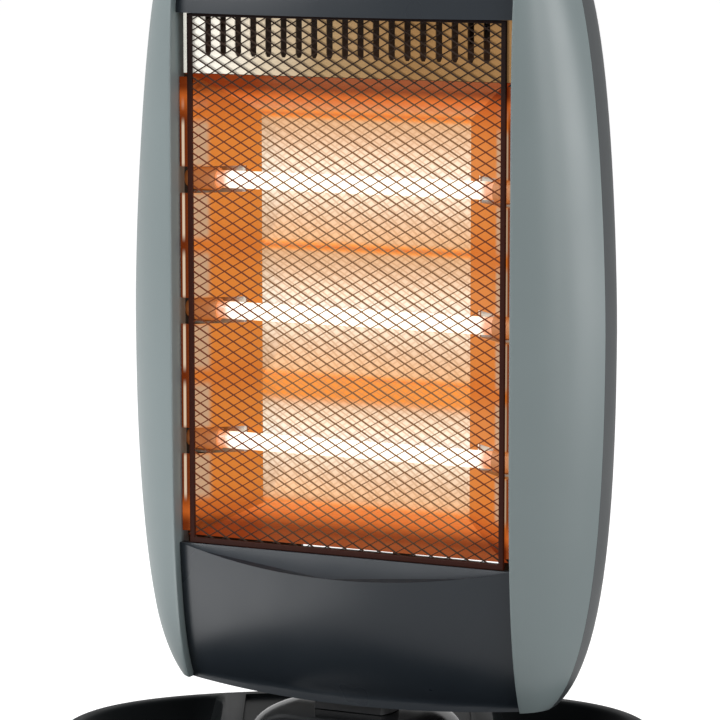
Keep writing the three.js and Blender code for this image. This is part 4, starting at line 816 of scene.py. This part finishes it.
# the base's oval form, in millimetres; each profile is a run of insets and heights
BASE_A, BASE_B, LIP, SADDLE = 172.0, 108.0, 12.0, 78.0
SIDE_PROFILE = [(3, 3.4), (1, 9), (0, 17), (0.8, 23), (3, 26.6), (5.5, 28)]
DISH_PROFILE = [(9, 12), (7.6, 12.5), (6.6, 13.4), (6, 14.5), (1.2, 26.0),
                (0.9, 26.8), (0.3, 27.5), (-0.6, 28.0), (-1.2, 28.2)]
DECK_PROFILE = [(12.0, 25.6), (11.6, 26.2), (11.0, 28.6)]
DECK_HALF = 66
UNDER_PROFILE = [(5.4, 2.4), (5.4, 9.6)]
POST_HOLE, CORD_HOLE, CORD_HEIGHT = 11.3, 8.7, 13


def oval(inset, z, sides=160):
    ring = []
    for k in range(sides):
        c, s = math.cos(2 * math.pi * k / sides), math.sin(2 * math.pi * k / sides)
        x = (BASE_A - inset) * math.copysign(abs(c) ** 0.8, c)
        y = (BASE_B - inset) * math.copysign(abs(s) ** 0.8, s)
        ring.append(Vector((x, y, z)))
    return ring


def tray_ring(inset, z, side, count=96):
    """A tray's rim, found by halving along each ray from the tray's middle."""
    a, b = BASE_A - LIP - inset, BASE_B - LIP - inset
    saddle = SADDLE + inset
    middle = (saddle + a) / 2
    ring = []
    for k in range(count):
        dx, dy = math.cos(2 * math.pi * k / count), math.sin(2 * math.pi * k / count)
        near, far = 0.0, BASE_A
        for _ in range(36):
            half = (near + far) / 2
            x, y = middle + dx * half, dy * half
            wide = ((abs(x) / a) ** 2.5 + (abs(y) / b) ** 2.5) ** 0.4
            wall = max(0.0, (middle - x) / (middle - saddle))
            if (wide ** 14 + wall ** 14) ** (1 / 14) < 1:
                near = half
            else:
                far = half
        ring.append(Vector((side * (middle + dx * near), dy * near, z)))
    return ring


def through(points, count):
    """A smooth run through points."""
    made = []
    for i in range(len(points) - 1):
        p0, p1 = points[max(0, i - 1)], points[i]
        p2, p3 = points[i + 1], points[min(len(points) - 1, i + 2)]
        for k in range(count):
            t = k / count
            made.append(tuple(
                0.5 * (2 * b + (c - a) * t + (2 * a - 5 * b + 4 * c - d) * t ** 2
                       + (3 * b - a - 3 * c + d) * t ** 3)
                for a, b, c, d in zip(p0, p1, p2, p3)))
    made.append(points[-1])
    return made


def base_mesh():
    """The base's shell with its two dished trays, hollow below."""
    side = loft("base_shell", [oval(inset, z) for inset, z in through(SIDE_PROFILE, 4)])
    trays = [loft("tray", [tray_ring(inset, z, s) for inset, z in DISH_PROFILE]) for s in (1, -1)]
    plateau = loft("plateau", [oval(inset, z, 120) for inset, z in DECK_PROFILE])
    limits = block("limits", (-DECK_HALF, DECK_HALF), (-110, 110), (25, 30))
    deck = carved(plateau, [("INTERSECT", [limits])])
    under = loft("under", [oval(inset, z) for inset, z in UNDER_PROFILE])
    post = upright_rod("post", POST_HOLE, 20, 30)
    gland = level_rod("gland", CORD_HOLE, 103.7, 120, 0, CORD_HEIGHT, 40)
    return smoothed(carved(side, [("DIFFERENCE", [*trays, deck, under, post, gland])]), 34)


DOME_RADIUS, DOME_ROUND, DOME_FOOT, DOME_RISE = 62, 24, 25.9, 16.5


def dome_mesh():
    """The dome's outer skin, down into the hole for the post."""
    profile = [(DOME_RADIUS - WALL, DOME_FOOT), (DOME_RADIUS, DOME_FOOT)]
    for k in range(1, 13):
        a = k / 12 * math.pi / 2
        profile.append((DOME_RADIUS - DOME_ROUND * (1 - math.cos(a)), DOME_FOOT + DOME_RISE * math.sin(a)))
    profile += [(POST_HOLE, DOME_FOOT + DOME_RISE), (POST_HOLE, 30)]
    points, faces, sides = [], [], 96
    for r, z in profile:
        points += [Vector((x, y, z)) * MM for x, y in circle(r, sides)]
    for i in range(len(profile) - 1):
        for k in range(sides):
            m = (k + 1) % sides
            faces.append((i * sides + k, i * sides + m, (i + 1) * sides + m, (i + 1) * sides + k))
    return smoothed(mesh_of("dome", points, faces), 40)


for name, mesh, finish, slot_name in (
    ("cheek_right", cheek_mesh(1), silver, "silver_grey"),
    ("cheek_left", cheek_mesh(-1), silver, "silver_grey"),
    ("lower_panel", lower_panel_mesh(), dark_grey, "dark_grey"),
    ("brow_panel", brow_mesh(), dark_grey, "dark_grey"),
    ("top_cover", top_mesh(), dark_grey, "dark_grey"),
    ("rear_cover", rear_mesh(), graphite, "graphite"),
):
    skin = made_piece(name + "_skin", mesh, finish, "head")
    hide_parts(name)

base_skin = made_piece("base_shell_skin", base_mesh(), base_paint, "base", turned=False)
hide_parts("base_shell")
dome = made_piece("pedestal_skin", dome_mesh(), gloss_black, "base", turned=False)
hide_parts("swivel_pedestal")

for name in nodes:
    if name.startswith(("quartz_tube", "lamp_cap", "lamp_lead", "foot_", "rear_screw", "base_screw")):
        dressed(name)


def reach_out(point):
    """The reflector's ends, run on behind the wings so that no slit shows beside them."""
    if abs(point.x) > 67.5 * MM:
        point.x += math.copysign(3.5 * MM, point.x)
    return point


dressed("reflector", move=reach_out)
for name in ("bottom_cover", "swivel_post", "swing_motor", "swing_crank", "swing_link",
             "overheat_cutout", "cord_gland", "tip_plunger"):
    dressed(name)
for name in ("heat_rocker_1", "heat_rocker_2", "swing_rocker"):
    dressed(name, 20, 0.7 * MM)
for name in ("switch_body_1", "switch_body_2", "switch_body_3", "terminal_block", "tip_switch_body"):
    dressed(name, 30, 0.35 * MM)

# guard: fine expanded net inside a folded hem, in the head's own frame
GUARD_Y, GUARD_DEPTH = -18 * MM, 2 * MM
GUARD_HALF, HEM, TOP_HEM = 97 * MM, 3.2 * MM, 1.8 * MM
GUARD_LOW, GUARD_HIGH = 133.3 * MM, 434.4 * MM
COLUMNS, ROWS = 18, 49
FALLING_STRAND, RISING_STRAND = 0.88 * MM, 0.50 * MM  # strands that run down to the right, and up
NET_INSET, NET_TILT, NET_THICKNESS = 1.5 * MM, 0.22 * MM, 0.55 * MM


def expanded_net():
    """Diamonds in a tilted lattice, each a ring of four strands, cut off at the hem."""
    half = GUARD_HALF - NET_INSET
    low, high = GUARD_LOW + NET_INSET, GUARD_HIGH - NET_INSET
    a, b = half / COLUMNS, (high - low) / ROWS / 2
    y = GUARD_Y + GUARD_DEPTH / 2
    spacing = 2 * a * b / math.hypot(a, b)
    falling = 1 - FALLING_STRAND / spacing
    rising = 1 - RISING_STRAND / spacing
    points, faces = [], []
    for column in range(2 * COLUMNS + 1):
        for row in range(2 * ROWS + 1):
            if (column + row) % 2:
                continue
            x, z = -half + column * a, low + row * b
            start = len(points)
            for p, q in ((1, 1), (falling, rising)):
                for fall, rise in ((-p, -q), (-p, q), (p, q), (p, -q)):
                    u, v = (fall + rise) / 2, (fall - rise) / 2
                    points.append((x + a * u, y + NET_TILT * v, z + b * v))
            for i in range(4):
                j = (i + 1) % 4
                faces.append((start + i, start + j, start + 4 + j, start + 4 + i))
    mesh = mesh_of("guard_net", points, faces)
    work = bmesh.new()
    work.from_mesh(mesh)
    bmesh.ops.remove_doubles(work, verts=work.verts, dist=0.01 * MM)
    for co, normal in (
        ((-half, 0, 0), (-1, 0, 0)),
        ((half, 0, 0), (1, 0, 0)),
        ((0, 0, low), (0, 0, -1)),
        ((0, 0, high), (0, 0, 1)),
    ):
        geometry = work.verts[:] + work.edges[:] + work.faces[:]
        bmesh.ops.bisect_plane(work, geom=geometry, plane_co=co, plane_no=normal, clear_outer=True)
    work.to_mesh(mesh)
    work.free()
    return mesh


net = made_piece("guard_net", expanded_net(), guard_steel, "head")
thick = net.modifiers.new("thickness", "SOLIDIFY")
thick.thickness = NET_THICKNESS
thick.offset = 0


def folded_hem(radius=0.6 * MM):
    """The guard's closed frame with rounded edges, made as four mitred runs."""
    back = GUARD_Y + GUARD_DEPTH
    section = []
    for cx, cy, start in (
        (radius, GUARD_Y + radius, 180),
        (HEM - radius, GUARD_Y + radius, 270),
        (HEM - radius, back - radius, 0),
        (radius, back - radius, 90),
    ):
        for k in range(4):
            angle = math.radians(start + k * 30)
            section.append((cx + radius * math.cos(angle), cy + radius * math.sin(angle)))
    points, faces = [], []
    for sx, sz in ((-1, -1), (1, -1), (1, 1), (-1, 1)):
        for inward, y in section:
            x = sx * (GUARD_HALF - inward)
            z = (GUARD_HIGH - inward * TOP_HEM / HEM) if sz > 0 else (GUARD_LOW + inward)
            points.append((x, y, z))
    count = len(section)
    for c in range(4):
        d = (c + 1) % 4
        for k in range(count):
            m = (k + 1) % count
            faces.append((c * count + k, c * count + m, d * count + m, d * count + k))
    return mesh_of("guard_hem", points, faces)


made_piece("guard_hem", folded_hem(), hem_steel, "head")
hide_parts("mesh_guard")

# filaments: wound coils on their supports, one for each lamp
LAMPS_Z = [(266 + d) * MM for d in (74.5, 0, -74.5)]
LAMP_Y = -2 * MM
COIL_HALF, COIL_RADIUS, WIRE_RADIUS, TURNS = 76 * MM, 1.0 * MM, 0.28 * MM, 100


def coil(name, z):
    """A wire of four sides, wound on a level axis."""
    points, faces = [], []
    steps = TURNS * 8
    along = Vector((1, 0, 0))
    for k in range(steps + 1):
        t = k / steps
        angle = t * TURNS * 2 * math.pi
        out = Vector((0, math.cos(angle), math.sin(angle)))
        centre = Vector((-COIL_HALF + 2 * COIL_HALF * t, LAMP_Y, z)) + COIL_RADIUS * out
        for c in range(4):
            a = c * math.pi / 2
            points.append(centre + WIRE_RADIUS * (math.cos(a) * out + math.sin(a) * along))
    for k in range(steps):
        for c in range(4):
            d = (c + 1) % 4
            faces.append((k * 4 + c, k * 4 + d, k * 4 + 4 + d, k * 4 + 4 + c))
    last = steps * 4
    faces.append((0, 3, 2, 1))
    faces.append((last, last + 1, last + 2, last + 3))
    return mesh_of(name, points, faces, True)


for i, z in enumerate(LAMPS_Z, 1):
    name = f"filament_coil_{i}"
    wound = made_piece(name, coil(name, z), filament, "head")
    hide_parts(f"filament_{i}")


# ------------------------------------------------------------------ stage

def area(name, at, look, width, height, power):
    data = bpy.data.lights.new(name, "AREA")
    data.energy = power
    data.shape = "RECTANGLE"
    data.size = width
    data.size_y = height
    obj = bpy.data.objects.new(name, data)
    obj.location = at
    obj.rotation_euler = (Vector(look) - Vector(at)).to_track_quat("-Z", "Y").to_euler()
    bpy.context.scene.collection.objects.link(obj)
    return obj


MIRRORED = 0.5  # how much of the white surroundings gloss and glass show


def seen_rays(tree):
    """1 for the camera's rays, a share for those of gloss and glass, 0 for those that light the object."""
    path = tree.nodes.new("ShaderNodeLightPath")
    fac = path.outputs["Is Camera Ray"]
    for ray in ("Is Glossy Ray", "Is Transmission Ray"):
        share = tree.nodes.new("ShaderNodeMath")
        share.operation = "MULTIPLY"
        share.inputs[1].default_value = MIRRORED
        tree.links.new(path.outputs[ray], share.inputs[0])
        either = tree.nodes.new("ShaderNodeMath")
        either.operation = "MAXIMUM"
        tree.links.new(fac, either.inputs[0])
        tree.links.new(share.outputs[0], either.inputs[1])
        fac = either.outputs[0]
    return fac


# a white floor that still takes the object's shadow, a hair below the feet
FLOOR_HALF, FLOOR_Z = 60.0, -0.2 * MM
FLOOR_GREY, FLOOR_SEEN = 0.42, 0.91
floor_paint = Graph("floor", (FLOOR_GREY,) * 3, 0.8)
floor_paint.mottle(3.0, 0.01)
floor_paint.set(Specular_IOR_Level=0.0, Emission_Color=(FLOOR_SEEN, FLOOR_SEEN, FLOOR_SEEN, 1))
floor_paint.link(seen_rays(floor_paint.tree), floor_paint.shader.inputs["Emission Strength"])
corners = [(x * FLOOR_HALF, y * FLOOR_HALF, FLOOR_Z) for x, y in ((-1, -1), (1, -1), (1, 1), (-1, 1))]
floor_mesh = mesh_of("floor", corners, [(0, 1, 2, 3)])
floor_mesh.materials.append(floor_paint.material)
floor = bpy.data.objects.new("floor", floor_mesh)
bpy.context.scene.collection.objects.link(floor)

area("key", (-2.0, -0.46, 1.50), (0, 0, 0.42), 1.4, 1.4, 50)
area("right_soft", (1.72, -1.02, 0.62), (0, 0, 0.30), 0.9, 1.3, 20)
area("right_strip", (1.30, -1.90, 0.72), (0, 0, 0.30), 0.40, 1.3, 8)
# low light on the left cheek's foot, from just over the floor
floor_card = area("floor_card", (-0.45, -0.11, 0.004), (-0.45, -0.11, 1), 0.5, 0.28, 0.95)
floor_card.visible_camera = False
area("top", (-0.2, -0.5, 2.5), (0, 0, 0.2), 1.6, 1.6, 22)

WORLD_LIGHT, WORLD_SEEN = 0.22, 1.0
world = bpy.data.worlds.new("world")
bpy.context.scene.world = world
world.use_nodes = True
tree = world.node_tree
tree.nodes.clear()
out = tree.nodes.new("ShaderNodeOutputWorld")
surround = tree.nodes.new("ShaderNodeBackground")
surround.inputs["Color"].default_value = (1, 1, 1, 1)
strength = tree.nodes.new("ShaderNodeMapRange")
strength.inputs["To Min"].default_value = WORLD_LIGHT
strength.inputs["To Max"].default_value = WORLD_SEEN
tree.links.new(seen_rays(tree), strength.inputs["Value"])
tree.links.new(strength.outputs["Result"], surround.inputs["Strength"])
tree.links.new(surround.outputs[0], out.inputs["Surface"])

FOCAL_PIXELS, FRAME_PIXELS, SENSOR = 3625.0, 720.0, 36.0
camera_data = bpy.data.cameras.new("camera")
camera_data.sensor_width = SENSOR
camera_data.lens = FOCAL_PIXELS / FRAME_PIXELS * SENSOR
camera_data.clip_end = 50
camera = bpy.data.objects.new("camera", camera_data)
camera.location = (0.0017, -2.009, 0.535)
camera.rotation_euler = (math.radians(90 - 8.3), 0, 0)
bpy.context.scene.collection.objects.link(camera)
bpy.context.scene.camera = camera
bpy.context.scene.view_settings.view_transform = "Standard"
